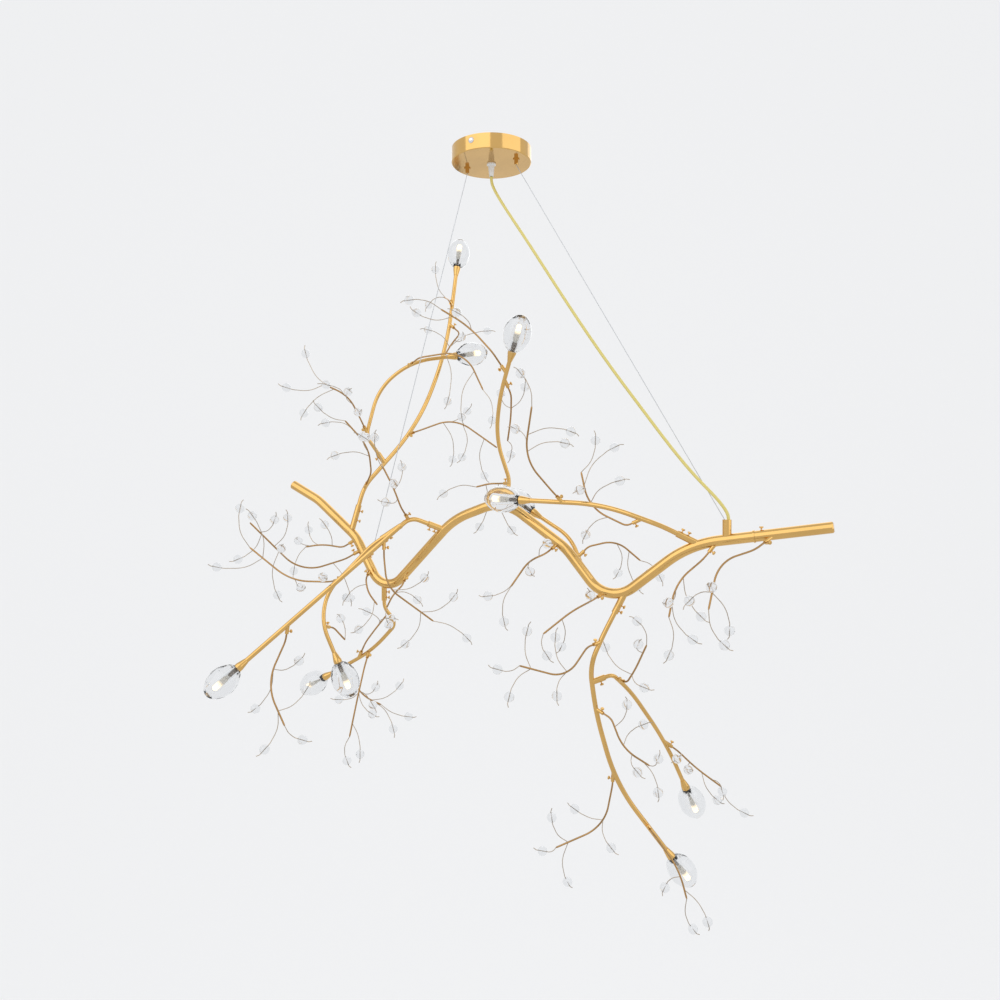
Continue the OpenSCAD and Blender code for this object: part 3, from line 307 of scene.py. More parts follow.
def wire_way(offset, count):
    """The side to which a bead's wire bows."""
    way = offset.normalized()
    side = offset.cross(Vector((0.2, 1, 0.1))).normalized()
    angle = math.radians(180 * (count % 2) + 25 * (count % 3 - 1))
    return math.cos(angle) * side + math.sin(angle) * way.cross(side)


def wire_path(number, count, bead):
    """The wire of one bead: its path, and the bead's centre and direction."""
    twig = TWIGS[number]
    share, x, y, z = twig[3][count]
    rod = twig_path(twig)
    root = rod.at(share * rod.length())[0]
    offset = Vector((x, y, z))
    bow_way = wire_way(offset, count + number)
    way = (offset.normalized() + 0.45 * bow_way).normalized()
    near = root + offset - (bead / 2 + BEAD_LEAD) * way
    bow = (root + near) / 2 - WIRE_BOW * (near - root).length * bow_way
    far = root + offset + (bead / 2 + BEAD_STUB) * way
    tail = far + TAIL * (way + 0.8 * bow_way).normalized()
    return BentPath([root, bow, near, far, tail], WIRE_BENDS), root + offset, way


def body_of_tube(tube):
    return "hanging_frame" if tube == 0 else f"branch_{tube}"


# ---- Materials ----

class Value:
    """A socket of a node tree. Maths on it adds Math nodes."""

    def __init__(self, maker, socket):
        self.maker, self.socket = maker, socket

    def math(self, operation, *others):
        return self.maker.node("ShaderNodeMath", {"operation": operation}, [self, *others])

    def __add__(self, other):
        return self.math("ADD", other)

    def __sub__(self, other):
        return self.math("SUBTRACT", other)

    def __rsub__(self, other):
        return self.maker.node("ShaderNodeMath", {"operation": "SUBTRACT"}, [other, self])

    def __mul__(self, other):
        return self.math("MULTIPLY", other)

    def __truediv__(self, other):
        return self.math("DIVIDE", other)

    def __pow__(self, other):
        return self.math("POWER", other)

    __radd__, __rmul__ = __add__, __mul__

    def clamped(self):
        return self.maker.node("ShaderNodeClamp", {}, [self])

    def between(self, low, high):
        """0 at low, 1 at high, smooth in between."""
        return self.maker.node("ShaderNodeMapRange", {"interpolation_type": "SMOOTHSTEP"},
                               [self, low, high, 0, 1])


class Maker:
    """Adds nodes to a material's tree."""

    def __init__(self, tree):
        self.tree = tree

    def node(self, kind, settings, values, output=0):
        node = self.tree.nodes.new(kind)
        for name, value in settings.items():
            setattr(node, name, value)
        pairs = values.items() if isinstance(values, dict) else enumerate(values)
        for key, value in pairs:
            socket = node.inputs[key]
            if isinstance(value, Value):
                self.tree.links.new(value.socket, socket)
            else:
                socket.default_value = value
        return Value(self, node.outputs[output])

    def ramp(self, value, stops):
        node = self.tree.nodes.new("ShaderNodeValToRGB")
        elements = node.color_ramp.elements
        while len(elements) < len(stops):
            elements.new(0.5)
        for element, (position, colour) in zip(elements, stops):
            element.position, element.color = position, (*colour, 1)
        self.tree.links.new(value.socket, node.inputs[0])
        return Value(self, node.outputs[0])

    def place(self):
        return self.node("ShaderNodeTexCoord", {}, {}, "Object")

    def noise(self, scale, detail=3, place=None, stretch=None):
        where = place or self.place()
        if stretch:
            where = self.node("ShaderNodeMapping", {}, {"Vector": where, "Scale": stretch})
        return self.node("ShaderNodeTexNoise", {},
                         {"Vector": where, "Scale": scale, "Detail": detail}, "Fac")

    def attribute(self, name):
        return self.node("ShaderNodeAttribute", {"attribute_name": name}, {}, "Fac")

    def mix(self, share, first, second):
        return self.node("ShaderNodeMix", {"data_type": "RGBA"},
                         {0: share, 6: first, 7: second}, 2)

    def bump(self, height, distance, strength=1.0):
        return self.node("ShaderNodeBump", {},
                         {"Height": height, "Distance": distance, "Strength": strength}, "Normal")


def colour4(colour, factor=1.0):
    return (*[min(1.0, c * factor) for c in colour], 1)


def new_material(name, settings, values):
    """A material with one Principled shader. values takes the maker and gives what varies."""
    found = bpy.data.materials.get(name)
    if found:
        return found
    material = bpy.data.materials.new(name)
    material.use_nodes = True
    tree = material.node_tree
    shader = tree.nodes["Principled BSDF"]
    for key, value in settings.items():
        shader.inputs[key].default_value = value
    for key, value in values(Maker(tree)).items():
        tree.links.new(value.socket, shader.inputs[key])
    return material


def polished_gold():
    """Plated brass, hand-polished: faint cloudy patches, wipe marks and fine pores."""
    gold = bpy.context.scene.chandelier_colours.gold

    def values(m):
        cloud = m.noise(22, 4).between(0.35, 0.7)
        wipe = m.noise(260, 3, stretch=(1, 1, 0.2)).between(0.4, 0.75)
        pores = m.noise(1400, 2)
        return {
            "Base Color": m.mix(cloud * 0.55, colour4(gold), colour4(gold, 0.86)),
            "Roughness": 0.085 + 0.05 * cloud + 0.05 * wipe,
            "Normal": m.bump(pores + 0.6 * wipe, 0.00004, 0.35),
        }
    return new_material("polished_gold", {"Metallic": 1.0}, values)


def bronze_rod():
    """The twig rods: drawn brass rod with a browner lacquer and drawing lines."""
    rod = bpy.context.scene.chandelier_colours.rod

    def values(m):
        along = m.attribute("along")
        streak = m.noise(900, 3, stretch=(1, 1, 0.15)).between(0.35, 0.7)
        patch = m.noise(35, 3).between(0.3, 0.75)
        ring = (along * 900).math("SINE").between(0.2, 1)
        return {
            "Base Color": m.mix(patch * 0.7, colour4(rod), colour4(rod, 0.68)),
            "Roughness": 0.14 + 0.1 * streak,
            "Normal": m.bump(streak + 0.3 * ring, 0.00003, 0.5),
        }
    return new_material("bronze_rod", {"Metallic": 1.0}, values)


def champagne_wire():
    """Soft bright wire with drawing lines and small kinks of tone."""
    wire = bpy.context.scene.chandelier_colours.wire

    def values(m):
        tone = m.noise(120, 3).between(0.3, 0.75)
        line = m.noise(1600, 2, stretch=(1, 1, 0.2))
        return {
            "Base Color": m.mix(tone * 0.8, colour4(wire), colour4(wire, 0.7)),
            "Roughness": 0.16 + 0.14 * tone,
            "Normal": m.bump(line, 0.00002, 0.6),
        }
    return new_material("champagne_wire", {"Metallic": 1.0}, values)


def clear_glass(name, ripple_scale, ripple_depth, seed_scale):
    """Hand-pressed clear glass: a soft ripple, and a few tiny seeds in it."""
    tint = bpy.context.scene.chandelier_colours.glass

    def values(m):
        ripple = m.noise(ripple_scale, 2)
        cell = m.node("ShaderNodeTexVoronoi", {}, {"Vector": m.place(), "Scale": seed_scale},
                      "Distance")
        seed = 1 - cell.between(0.03, 0.14)
        return {
            "Base Color": m.mix(seed * 0.5, colour4(tint), colour4(tint, 0.8)),
            "Roughness": 0.004 + 0.05 * seed,
            "Normal": m.bump(ripple + 0.5 * seed, ripple_depth, 0.5),
        }
    return new_material(name, {"Transmission Weight": 1.0, "IOR": 1.47, "Metallic": 0.0}, values)


def steel_rope():
    def values(m):
        along, x, y = m.attribute("along"), m.attribute("side_x"), m.attribute("side_y")
        angle = y.math("ARCTAN2", x)
        # Painted shade: the grooves between the strands are coloured dark and the strand crests
        # light. The same mask also sets roughness and bump.
        strand_and_groove_shade = (angle * 6 + along * (2 * math.pi / 0.0016)).math("COSINE").between(-0.6, 1)
        return {
            "Base Color": m.mix(strand_and_groove_shade, (0.2, 0.2, 0.21, 1), (0.6, 0.61, 0.63, 1)),
            "Roughness": 0.42 - 0.12 * strand_and_groove_shade,
            "Normal": m.bump(strand_and_groove_shade, 0.0001, 0.8),
        }
    return new_material("steel_rope", {"Metallic": 1.0}, values)


def amber_cable():
    """Clear amber sheath over two cores laid together, which show through as slow bands."""
    amber = bpy.context.scene.chandelier_colours.cable

    def values(m):
        along, x, y = m.attribute("along"), m.attribute("side_x"), m.attribute("side_y")
        angle = y.math("ARCTAN2", x)
        core = (angle * 2 + along * (2 * math.pi / 0.022)).math("COSINE").between(-1, 1)
        braid = ((angle * 8 - along * (2 * math.pi / 0.0035)).math("COSINE")
                 * (angle * 8 + along * (2 * math.pi / 0.0035)).math("COSINE")).between(-1, 1)
        shade = (0.8 * core + 0.2 * braid).clamped()
        return {
            "Base Color": m.mix(shade, colour4(amber, 0.78), colour4(amber, 1.1)),
            "Roughness": 0.2 + 0.12 * (1 - braid),
            "Metallic": 0.15 * braid,
            "Normal": m.bump(braid, 0.00005, 0.3),
        }
    return new_material("amber_cable", {"Coat Weight": 0.25, "Coat Roughness": 0.15}, values)


def dull_metal(name, light, dark, roughness, grain):
    """Plated or turned steel: fine turning marks over a mottled plating."""
    def values(m):
        mottle = m.noise(300, 4).between(0.35, 0.7)
        marks = m.noise(grain, 2, stretch=(1, 1, 6))
        return {
            "Base Color": m.mix(mottle, colour4(light), colour4(dark)),
            "Roughness": roughness + 0.12 * mottle,
            "Normal": m.bump(marks, 0.00003, 0.6),
        }
    return new_material(name, {"Metallic": 1.0}, values)


def moulded(name, light, roughness, grain=2200, transmission=0.0):
    """Moulded plastic: a fine even grain and a slight unevenness of tone."""
    def values(m):
        fine = m.noise(grain, 2)
        tone = m.noise(90, 2).between(0.3, 0.7)
        return {
            "Base Color": m.mix(tone, colour4(light), colour4(light, 0.93)),
            "Roughness": roughness + 0.08 * fine,
            "Normal": m.bump(fine, 0.00004, 0.5),
        }
    return new_material(name, {"Metallic": 0.0, "Transmission Weight": transmission}, values)


def lit_bulb():
    """The bulb's clear sleeve over its warm white lamp, brightest towards the tip."""
    glow = bpy.context.scene.chandelier_colours.glow
    strength = bpy.context.scene.chandelier_sizes.glow_strength

    def values(m):
        up = m.attribute("up")
        hot = up.between(0.3, 0.62)
        speckle = m.noise(900, 2).between(0.3, 0.7)
        emitted = m.mix(hot, (0.02, 0.014, 0.006, 1), colour4(glow))
        return {
            "Base Color": m.mix(speckle, (0.85, 0.8, 0.7, 1), (0.92, 0.9, 0.84, 1)),
            "Roughness": 0.25 + 0.1 * speckle,
            "Emission Color": emitted,
        }
    return new_material("lit_bulb", {"Emission Strength": strength, "IOR": 1.45}, values)


# ---- Pieces by nodes ----

def geometry_tree(name, sockets):
    """A new Geometry Nodes tree with those named inputs."""
    tree = bpy.data.node_groups.new(name, "GeometryNodeTree")
    tree.interface.new_socket("Geometry", in_out="INPUT", socket_type="NodeSocketGeometry")
    for label, kind, default in sockets:
        socket = tree.interface.new_socket(label, in_out="INPUT", socket_type=kind)
        if default is not None:
            socket.default_value = default
    tree.interface.new_socket("Geometry", in_out="OUTPUT", socket_type="NodeSocketGeometry")
    return tree, Maker(tree), tree.nodes.new("NodeGroupInput")


def end_tree(tree, maker, geometry, material):
    """Realize Instances, Set Material, and the tree's output."""
    real = maker.node("GeometryNodeRealizeInstances", {}, {"Geometry": geometry})
    done = maker.node("GeometryNodeSetMaterial", {}, {"Geometry": real, "Material": material})
    tree.links.new(done.socket, tree.nodes.new("NodeGroupOutput").inputs[0])
    return tree


def tube_tree():
    """Sweeps a round or lobed section along each line, with the radius that its points give."""
    found = bpy.data.node_groups.get("Drawn wire")
    if found:
        return found
    tree, m, given = geometry_tree("Drawn wire", [
        ("Sides", "NodeSocketInt", 8), ("Lobes", "NodeSocketInt", 0),
        ("Lobe depth", "NodeSocketFloat", 0.0), ("Lay", "NodeSocketFloat", 0.0),
        ("Material", "NodeSocketMaterial", None)])
    given = {socket.name: Value(m, socket) for socket in given.outputs if socket.name}

    def named(name):
        return m.node("GeometryNodeInputNamedAttribute", {"data_type": "FLOAT"}, {"Name": name})

    line = m.node("GeometryNodeMeshToCurve", {}, {"Mesh": given["Geometry"]})
    line = m.node("GeometryNodeSetCurveTilt", {},
                  {"Curve": line, "Tilt": named("along") * given["Lay"]})
    ring = m.node("GeometryNodeCurvePrimitiveCircle", {"mode": "RADIUS"},
                  {"Resolution": given["Sides"], "Radius": 1.0})
    at = m.node("GeometryNodeInputPosition", {}, {})
    x = m.node("ShaderNodeSeparateXYZ", {}, [at], "X")
    y = m.node("ShaderNodeSeparateXYZ", {}, [at], "Y")
    ring = m.node("GeometryNodeStoreNamedAttribute", {"data_type": "FLOAT", "domain": "POINT"},
                  {"Geometry": ring, "Name": "side_x", "Value": x})
    ring = m.node("GeometryNodeStoreNamedAttribute", {"data_type": "FLOAT", "domain": "POINT"},
                  {"Geometry": ring, "Name": "side_y", "Value": y})
    angle = y.math("ARCTAN2", x)
    size = 1 - given["Lobe depth"] * (0.5 + 0.5 * (angle * given["Lobes"]).math("COSINE"))
    moved = m.node("ShaderNodeVectorMath", {"operation": "SCALE"}, {"Vector": at, "Scale": size})
    ring = m.node("GeometryNodeSetPosition", {}, {"Geometry": ring, "Position": moved})
    skin = m.node("GeometryNodeCurveToMesh", {},
                  {"Curve": line, "Profile Curve": ring, "Scale": named("radius"),
                   "Fill Caps": True})
    smooth = m.node("GeometryNodeSetShadeSmooth", {}, {"Geometry": skin})
    return end_tree(tree, m, smooth, given["Material"])


def set_tree():
    """Sets a copy of a template on every point, turned to the point's own direction."""
    found = bpy.data.node_groups.get("Set in place")
    if found:
        return found
    tree, m, given = geometry_tree("Set in place", [
        ("Template", "NodeSocketObject", None), ("Material", "NodeSocketMaterial", None)])
    given = {socket.name: Value(m, socket) for socket in given.outputs if socket.name}
    facing = m.node("GeometryNodeInputNamedAttribute", {"data_type": "FLOAT_VECTOR"},
                    {"Name": "facing"})
    turned = m.node("FunctionNodeAlignRotationToVector", {"axis": "Z"}, {"Vector": facing})
    template = m.node("GeometryNodeObjectInfo", {"transform_space": "ORIGINAL"},
                      {"Object": given["Template"], "As Instance": True}, "Geometry")
    copies = m.node("GeometryNodeInstanceOnPoints", {},
                    {"Points": given["Geometry"], "Instance": template, "Rotation": turned})
    return end_tree(tree, m, copies, given["Material"])


def grow(piece, tree, inputs):
    """Runs a tree on a piece, and keeps the result as the piece's plain mesh."""
    modifier = piece.modifiers.new(tree.name, "NODES")
    modifier.node_group = tree
    keys = {item.name: item.identifier for item in tree.interface.items_tree
            if item.item_type == "SOCKET" and item.in_out == "INPUT"}
    for label, value in inputs.items():
        modifier[keys[label]] = value
    bpy.context.view_layer.update()
    graph = bpy.context.evaluated_depsgraph_get()
    mesh = bpy.data.meshes.new_from_object(
        piece.evaluated_get(graph), preserve_all_data_layers=True, depsgraph=graph)
    seed = piece.data
    piece.modifiers.clear()
    piece.data = mesh
    mesh.name = piece.name
    mesh.materials.clear()
    mesh.materials.append(inputs["Material"])
    mesh.polygons.foreach_set("material_index", [0] * len(mesh.polygons))
    bpy.data.meshes.remove(seed)
    if not mesh.polygons:
        raise RuntimeError(f"{piece.name} came out empty")
    return piece


def new_piece(name, mesh):
    piece = bpy.data.objects.new(name, mesh)
    bpy.context.scene.collection.objects.link(piece)
    return piece


def settle(piece, body, slot, *nodes):
    """Fixes a finished piece to its body and hides the solids that it stands for. Its material slot
    is not used.
    """
    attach(piece, body)
    if nodes:
        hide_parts(*nodes)
    return piece


def drawn(name, lines, sides, material, lobes=0, lobe_depth=0.0, lay=0.0):
    """Tubes along lines of (points in millimetres, diameter or a diameter for each point)."""
    points, edges, radii, along = [], [], [], []
    for line, diameter in lines:
        first, travelled = len(points), 0.0
        for i, p in enumerate(line):
            travelled += (p - line[i - 1]).length * MM if i else 0
            points.append(p * MM)
            each = diameter[i] if isinstance(diameter, (list, tuple)) else diameter
            radii.append(each / 2 * MM)
            along.append(travelled)
        edges += [(first + i, first + i + 1) for i in range(len(line) - 1)]
    mesh = bpy.data.meshes.new(name)
    mesh.from_pydata(points, edges, [])
    for label, values in (("radius", radii), ("along", along)):
        mesh.attributes.new(label, "FLOAT", "POINT").data.foreach_set("value", values)
    return grow(new_piece(name, mesh), tube_tree(), {
        "Sides": sides, "Lobes": lobes, "Lobe depth": lobe_depth, "Lay": lay,
        "Material": material})


def set_out(name, template, places, material):
    """Copies of a template at (point in millimetres, direction)."""
    mesh = bpy.data.meshes.new(name)
    mesh.from_pydata([p * MM for p, _ in places], [], [])
    facing = mesh.attributes.new("facing", "FLOAT_VECTOR", "POINT")
    facing.data.foreach_set("vector", [c for _, way in places for c in way])
    return grow(new_piece(name, mesh), set_tree(),
                {"Template": template, "Material": material})


def turned_mesh(name, profile, segments, closed=False, shape=None):
    """A shape of revolution about +Z from (radius, height) pairs in millimetres."""
    points, faces, rings = [], [], []
    for r, z in profile:
        if r < 1e-6:
            rings.append([len(points)])
            points.append(Vector((0, 0, z)))
            continue
        rings.append(list(range(len(points), len(points) + segments)))
        for i in range(segments):
            a = 2 * math.pi * i / segments
            points.append(Vector((r * math.cos(a), r * math.sin(a), z)))
    if shape:
        points = [shape(p) for p in points]
    pairs = list(zip(rings, rings[1:])) + ([(rings[-1], rings[0])] if closed else [])
    for low, high in pairs:
        for i in range(segments):
            j = (i + 1) % segments
            corners = [low[i % len(low)], low[j % len(low)], high[j % len(high)],
                       high[i % len(high)]]
            corners = list(dict.fromkeys(corners))
            if len(corners) > 2:
                faces.append(corners)
    mesh = bpy.data.meshes.new(name)
    mesh.from_pydata([p * MM for p in points], [], faces)
    shell = bmesh.new()
    shell.from_mesh(mesh)
    bmesh.ops.recalc_face_normals(shell, faces=shell.faces)
    for face in shell.faces:
        face.smooth = True
    for edge in shell.edges:
        edge.smooth = edge.calc_face_angle(0) < math.radians(35)
    shell.to_mesh(mesh)
    shell.free()
    return mesh


def arc(centre, radius, start, end, steps):
    """Points of an arc in a profile, angles in degrees from the outward side."""
    return [(centre[0] + radius * math.cos(math.radians(start + (end - start) * i / steps)),
             centre[1] + radius * math.sin(math.radians(start + (end - start) * i / steps)))
            for i in range(steps + 1)]


def template(name, mesh):
    """A shape that set_out copies. It is deleted when its pieces are made."""
    shape = new_piece(name, mesh)
    shape.hide_render = True
    return shape


def discard(shape):
    mesh = shape.data
    bpy.data.objects.remove(shape)
    bpy.data.meshes.remove(mesh)


# ---- Settings ----

class ChandelierSizes(bpy.types.PropertyGroup):
    """Sizes of the fine pieces"""
    bead_diameter: FloatProperty(
        name="Bead diameter", description="Diameter of the glass beads",
        default=0.014, min=0.008, max=0.02, unit="LENGTH")
    wire_diameter: FloatProperty(
        name="Wire diameter", description="Diameter of the bead wires",
        default=0.0011, min=0.0005, max=0.002, unit="LENGTH")
    rod_diameter: FloatProperty(
        name="Rod diameter", description="Diameter of the twig rods",
        default=0.0026, min=0.0015, max=0.004, unit="LENGTH")
    rope_diameter: FloatProperty(
        name="Rope diameter", description="Diameter of the steel ropes",
        default=0.0012, min=0.0008, max=0.002, unit="LENGTH")
    cable_diameter: FloatProperty(
        name="Cable diameter", description="Diameter of the power cable",
        default=0.0044, min=0.003, max=0.006, unit="LENGTH")
    egg_diameter: FloatProperty(
        name="Egg diameter", description="Widest diameter of the glass eggs",
        default=0.04, min=0.03, max=0.05, unit="LENGTH")
    egg_length: FloatProperty(
        name="Egg length", description="Length of the glass eggs",
        default=0.056, min=0.045, max=0.065, unit="LENGTH")
    egg_ripple: FloatProperty(
        name="Egg ripple", description="Depth of the hand-made ripple in the eggs' outside",
        default=0.0003, min=0.0, max=0.001, unit="LENGTH")
    screw_head: FloatProperty(
        name="Screw head", description="Diameter of the thumbscrews' heads",
        default=0.0054, min=0.004, max=0.007, unit="LENGTH")
    thread_count: IntProperty(
        name="Thread turns", description="Turns of thread on each lampholder",
        default=9, min=3, max=16)
    glow_strength: FloatProperty(
        name="Glow", description="Brightness of the lamps' bulbs",
        default=1.7, min=0.0, max=50.0)


class ChandelierColours(bpy.types.PropertyGroup):
    """Colours of the finishes"""
    gold: FloatVectorProperty(
        name="Gold", description="Polished gold of the tubes",
        default=(0.66, 0.41, 0.14), subtype="COLOR", min=0, max=1)
    rod: FloatVectorProperty(
        name="Rods", description="Browner gold of the twig rods",
        default=(0.42, 0.25, 0.10), subtype="COLOR", min=0, max=1)
    wire: FloatVectorProperty(
        name="Wire", description="Champagne colour of the bead wires",
        default=(0.45, 0.37, 0.28), subtype="COLOR", min=0, max=1)
    cable: FloatVectorProperty(
        name="Cable", description="Amber of the power cable's sheath",
        default=(0.52, 0.38, 0.03), subtype="COLOR", min=0, max=1)
    glass: FloatVectorProperty(
        name="Glass", description="Tint of the clear glass",
        default=(0.87, 0.88, 0.89), subtype="COLOR", min=0, max=1)
    glow: FloatVectorProperty(
        name="Glow colour", description="Warm white of the lamps",
        default=(1.0, 0.74, 0.4), subtype="COLOR", min=0, max=1)
    backdrop: FloatVectorProperty(
        name="Backdrop", description="Pale studio colour round the chandelier",
        default=(0.905, 0.91, 0.92), subtype="COLOR", min=0, max=1)


def sizes():
    return bpy.context.scene.chandelier_sizes


def seen_rays(m):
    """1 for what the camera sees, straight, in metal or through glass, and 0 for other light."""
    path = m.tree.nodes.new("ShaderNodeLightPath")
    straight, reflected, through = (
        Value(m, path.outputs[f"Is {kind} Ray"]) for kind in ("Camera", "Glossy", "Transmission"))
    return (straight + reflected + through).clamped()


# ---- Operators ----

class ChandelierStage(bpy.types.Operator):
    """Camera at the photograph's angle, soft lights and a pale floor and backdrop"""
    bl_idname = "chandelier.stage"
    bl_label = "Camera and studio"

    def execute(self, context):
        scene = context.scene
        scene.view_settings.view_transform = "Standard"
        camera = bpy.data.objects.new("Camera", bpy.data.cameras.new("Camera"))
        scene.collection.objects.link(camera)
        camera.data.sensor_width = 36
        camera.data.lens = 30.6
        camera.data.clip_start, camera.data.clip_end = 0.02, 60
        camera.location = (0.013, -1.285, -0.53)
        camera.rotation_euler = (math.radians(90), 0, 0)
        scene.camera = camera
        self.backdrop()
        self.world(scene)
        self.lamp("Key light", (-1.6, -1.9, 1.0), 3.6, 34)
        self.lamp("Fill light", (2.2, -1.2, 0.3), 2.6, 14)
        self.lamp("Back light", (0.6, 2.0, 1.0), 2.7, 16)
        return {"FINISHED"}

    def backdrop(self):
        """A floor that curves up into a wall, 2.4 m under the ceiling."""
        floor, wall, cove, half = -2.4, 3.6, 1.2, 7.0
        profile = [(-6.0, floor), (wall - cove, floor)]
        profile += [(wall - cove + cove * math.sin(math.radians(a)),
                     floor + cove - cove * math.cos(math.radians(a))) for a in range(9, 91, 9)]
        profile.append((wall, 3.5))
        points = [(x, y, z) for y, z in profile for x in (-half, half)]
        faces = [(2 * i, 2 * i + 1, 2 * i + 3, 2 * i + 2) for i in range(len(profile) - 1)]
        mesh = bpy.data.meshes.new("Backdrop")
        mesh.from_pydata(points, [], faces)
        for face in mesh.polygons:
            face.use_smooth = True
        sheet = new_piece("Backdrop", mesh)
        pale = bpy.context.scene.chandelier_colours.backdrop
        material = bpy.data.materials.new("backdrop_paper")
        material.use_nodes = True
        tree = material.node_tree
        tree.nodes.remove(tree.nodes["Principled BSDF"])
        m = Maker(tree)
        paper = m.node("ShaderNodeBsdfDiffuse", {}, {"Color": colour4(pale)})
        light = m.node("ShaderNodeEmission", {}, {"Color": colour4(pale), "Strength": 1.0})
        both = m.node("ShaderNodeMixShader", {}, [seen_rays(m) * 0.85, paper, light])
        tree.links.new(both.socket, tree.nodes["Material Output"].inputs["Surface"])
        mesh.materials.append(material)

    def world(self, scene):
        """The same pale all round for what is seen, reflected or shown through glass, and a
        softer grey for the light that it gives."""
        world = bpy.data.worlds.new("Studio")
        scene.world = world
        world.use_nodes = True
        tree = world.node_tree
        m = Maker(tree)
        pale = colour4(scene.chandelier_colours.backdrop)
        shown = m.mix(seen_rays(m), (0.62, 0.63, 0.65, 1), pale)
        tree.links.new(shown.socket, tree.nodes["Background"].inputs["Color"])

    def lamp(self, name, place, size, power):
        light = bpy.data.lights.new(name, "AREA")
        light.shape, light.size, light.energy = "SQUARE", size, power
        lamp = bpy.data.objects.new(name, light)
        bpy.context.scene.collection.objects.link(lamp)
        lamp.location = place
        lamp.visible_transmission = False
        aim = Vector((0, 0, -0.55)) - Vector(place)
        lamp.rotation_euler = aim.to_track_quat("-Z", "Y").to_euler()


def cable_line():
    """The cable's path in millimetres: out of the gland, the free spline, into the post."""
    post_top = SPINES[0].at(POST_AT)[0] + Vector((0, 0, POST_HEIGHT))
    mouth = post_top + POST_CABLE[0] * HANG_WAY + POST_CABLE[1] * HANG_BACK
    line = [Vector((0, 0, GLAND_TIP)), Vector((0, 0, GLAND_TIP - 4.4))]
    route = [Vector(p) for p in CABLE_ROUTE]
    for i in range(len(route) - 3):
        a, b, c, d = route[i:i + 4]
        for j in range(CABLE_STEPS):
            t = j / CABLE_STEPS
            line.append(((1 - t) ** 3 * a + (3 * t ** 3 - 6 * t * t + 4) * b
                         + (3 * t * (1 + t - t * t) + 1) * c + t ** 3 * d) / 6)
    return line + [mouth, mouth - Vector((0, 0, CABLE_SEAT))]


def line_length(line):
    return sum((b - a).length for a, b in zip(line, line[1:]))


class ChandelierCords(bpy.types.Operator):
    """The two steel ropes and the power cable"""
    bl_idname = "chandelier.cords"
    bl_label = "Ropes and cable"

    def execute(self, context):
        size = sizes()
        line = cable_line()
        cable = drawn("Power_cable", [(line, size.cable_diameter / MM)], 20, amber_cable())
        settle(cable, "hanging_frame", "amber_cable", "power_cable")
        line[0] * MM
        line_length(line) * MM
        [p * MM for p in line]
        stem = SPINES[0]
        post_top = stem.at(POST_AT)[0] + Vector((0, 0, POST_HEIGHT))
        right = post_top + POST_WIRE[0] * HANG_WAY + POST_WIRE[1] * HANG_BACK
        clip, way = stem.at(CLIP_AT)
        left = clip + CLIP_EAR * (Vector((0, 0, 1)) - way.z * way).normalized()
        for side, foot, sunk in ((-1, left, 0), (1, right, WIRE_SEAT)):
            top = side * WIRE_SPREAD / 2 * HANG_WAY + Vector((0, 0, WIRE_TOP))
            low = foot - sunk * (top - foot).normalized()
            count = 480
            line = [top + (low - top) * i / count for i in range(count + 1)]
            name = "Steel_rope_left" if side < 0 else "Steel_rope_right"
            rope = drawn(name, [(line, size.rope_diameter / MM)], 18, steel_rope(),
                         lobes=6, lobe_depth=0.12, lay=2 * math.pi / 0.009)
            settle(rope, "hanging_frame", "steel_rope", "suspension_wires")
            top * MM
            line_length(line) * MM
            [p * MM for p in line]
        return {"FINISHED"}


class ChandelierTwigs(bpy.types.Operator):
    """The twig rods and the bead wires soldered to them"""
    bl_idname = "chandelier.twigs"
    bl_label = "Rods and wires"

    def execute(self, context):
        size = sizes()
        rod, wire, bead = (size.rod_diameter / MM, size.wire_diameter / MM,
                           size.bead_diameter / MM)
        for tube in range(11):
            mine = [k for k, twig in enumerate(TWIGS) if twig[0] == tube]
            node = "stem_twigs" if tube == 0 else f"branch_{tube}_twigs"
            rods = []
            for k in mine:
                line = twig_path(TWIGS[k]).samples(twig_start(TWIGS[k], rod), step=2.5)
                thick = [rod] * len(line)
                thick[-1] = 0.7 * rod
                rods.append((line, thick))
            wires = [(wire_path(k, j, bead)[0].samples(step=1.6), wire)
                     for k in mine for j in range(len(TWIGS[k][3]))]
            label = "stem" if tube == 0 else f"branch_{tube}"
            body = body_of_tube(tube)
            settle(drawn(f"Twig_rods.{label}", rods, 12, bronze_rod()), body,
                   "twig_wire", node)
            settle(drawn(f"Bead_wires.{label}", wires, 8, champagne_wire()), body,
                   "twig_wire", node)
        return {"FINISHED"}


def bead_profile(bead, hole):
    """Half section of a bored bead, softly rounded where the hole comes out."""
    r = bead / 2
    edge = math.degrees(math.asin(hole / r)) + 3
    profile = arc((0, 0), r, edge - 90, 90 - edge, 16)
    return profile + [(hole, r * 0.97), (hole, 0), (hole, -r * 0.97)]


class ChandelierBeads(bpy.types.Operator):
    """The glass beads on their wires"""
    bl_idname = "chandelier.beads"
    bl_label = "Beads"

    def execute(self, context):
        size = sizes()
        bead, wire = size.bead_diameter / MM, size.wire_diameter / MM
        shape = template("bead_shape", turned_mesh(
            "bead_shape", bead_profile(bead, wire / 2 + 0.15), 24, closed=True))
        glass = clear_glass("bead_glass", 220, 0.00012, 900)
        for tube in range(11):
            places = [wire_path(k, j, bead)[1:] for k, twig in enumerate(TWIGS)
                      if twig[0] == tube for j in range(len(twig[3]))]
            label = "stem" if tube == 0 else f"branch_{tube}"
            piece = set_out(f"Beads.{label}", shape, places, glass)
            settle(piece, body_of_tube(tube), "clear_glass",
                   "stem_beads" if tube == 0 else f"branch_{tube}_glass")
        discard(shape)
        return {"FINISHED"}


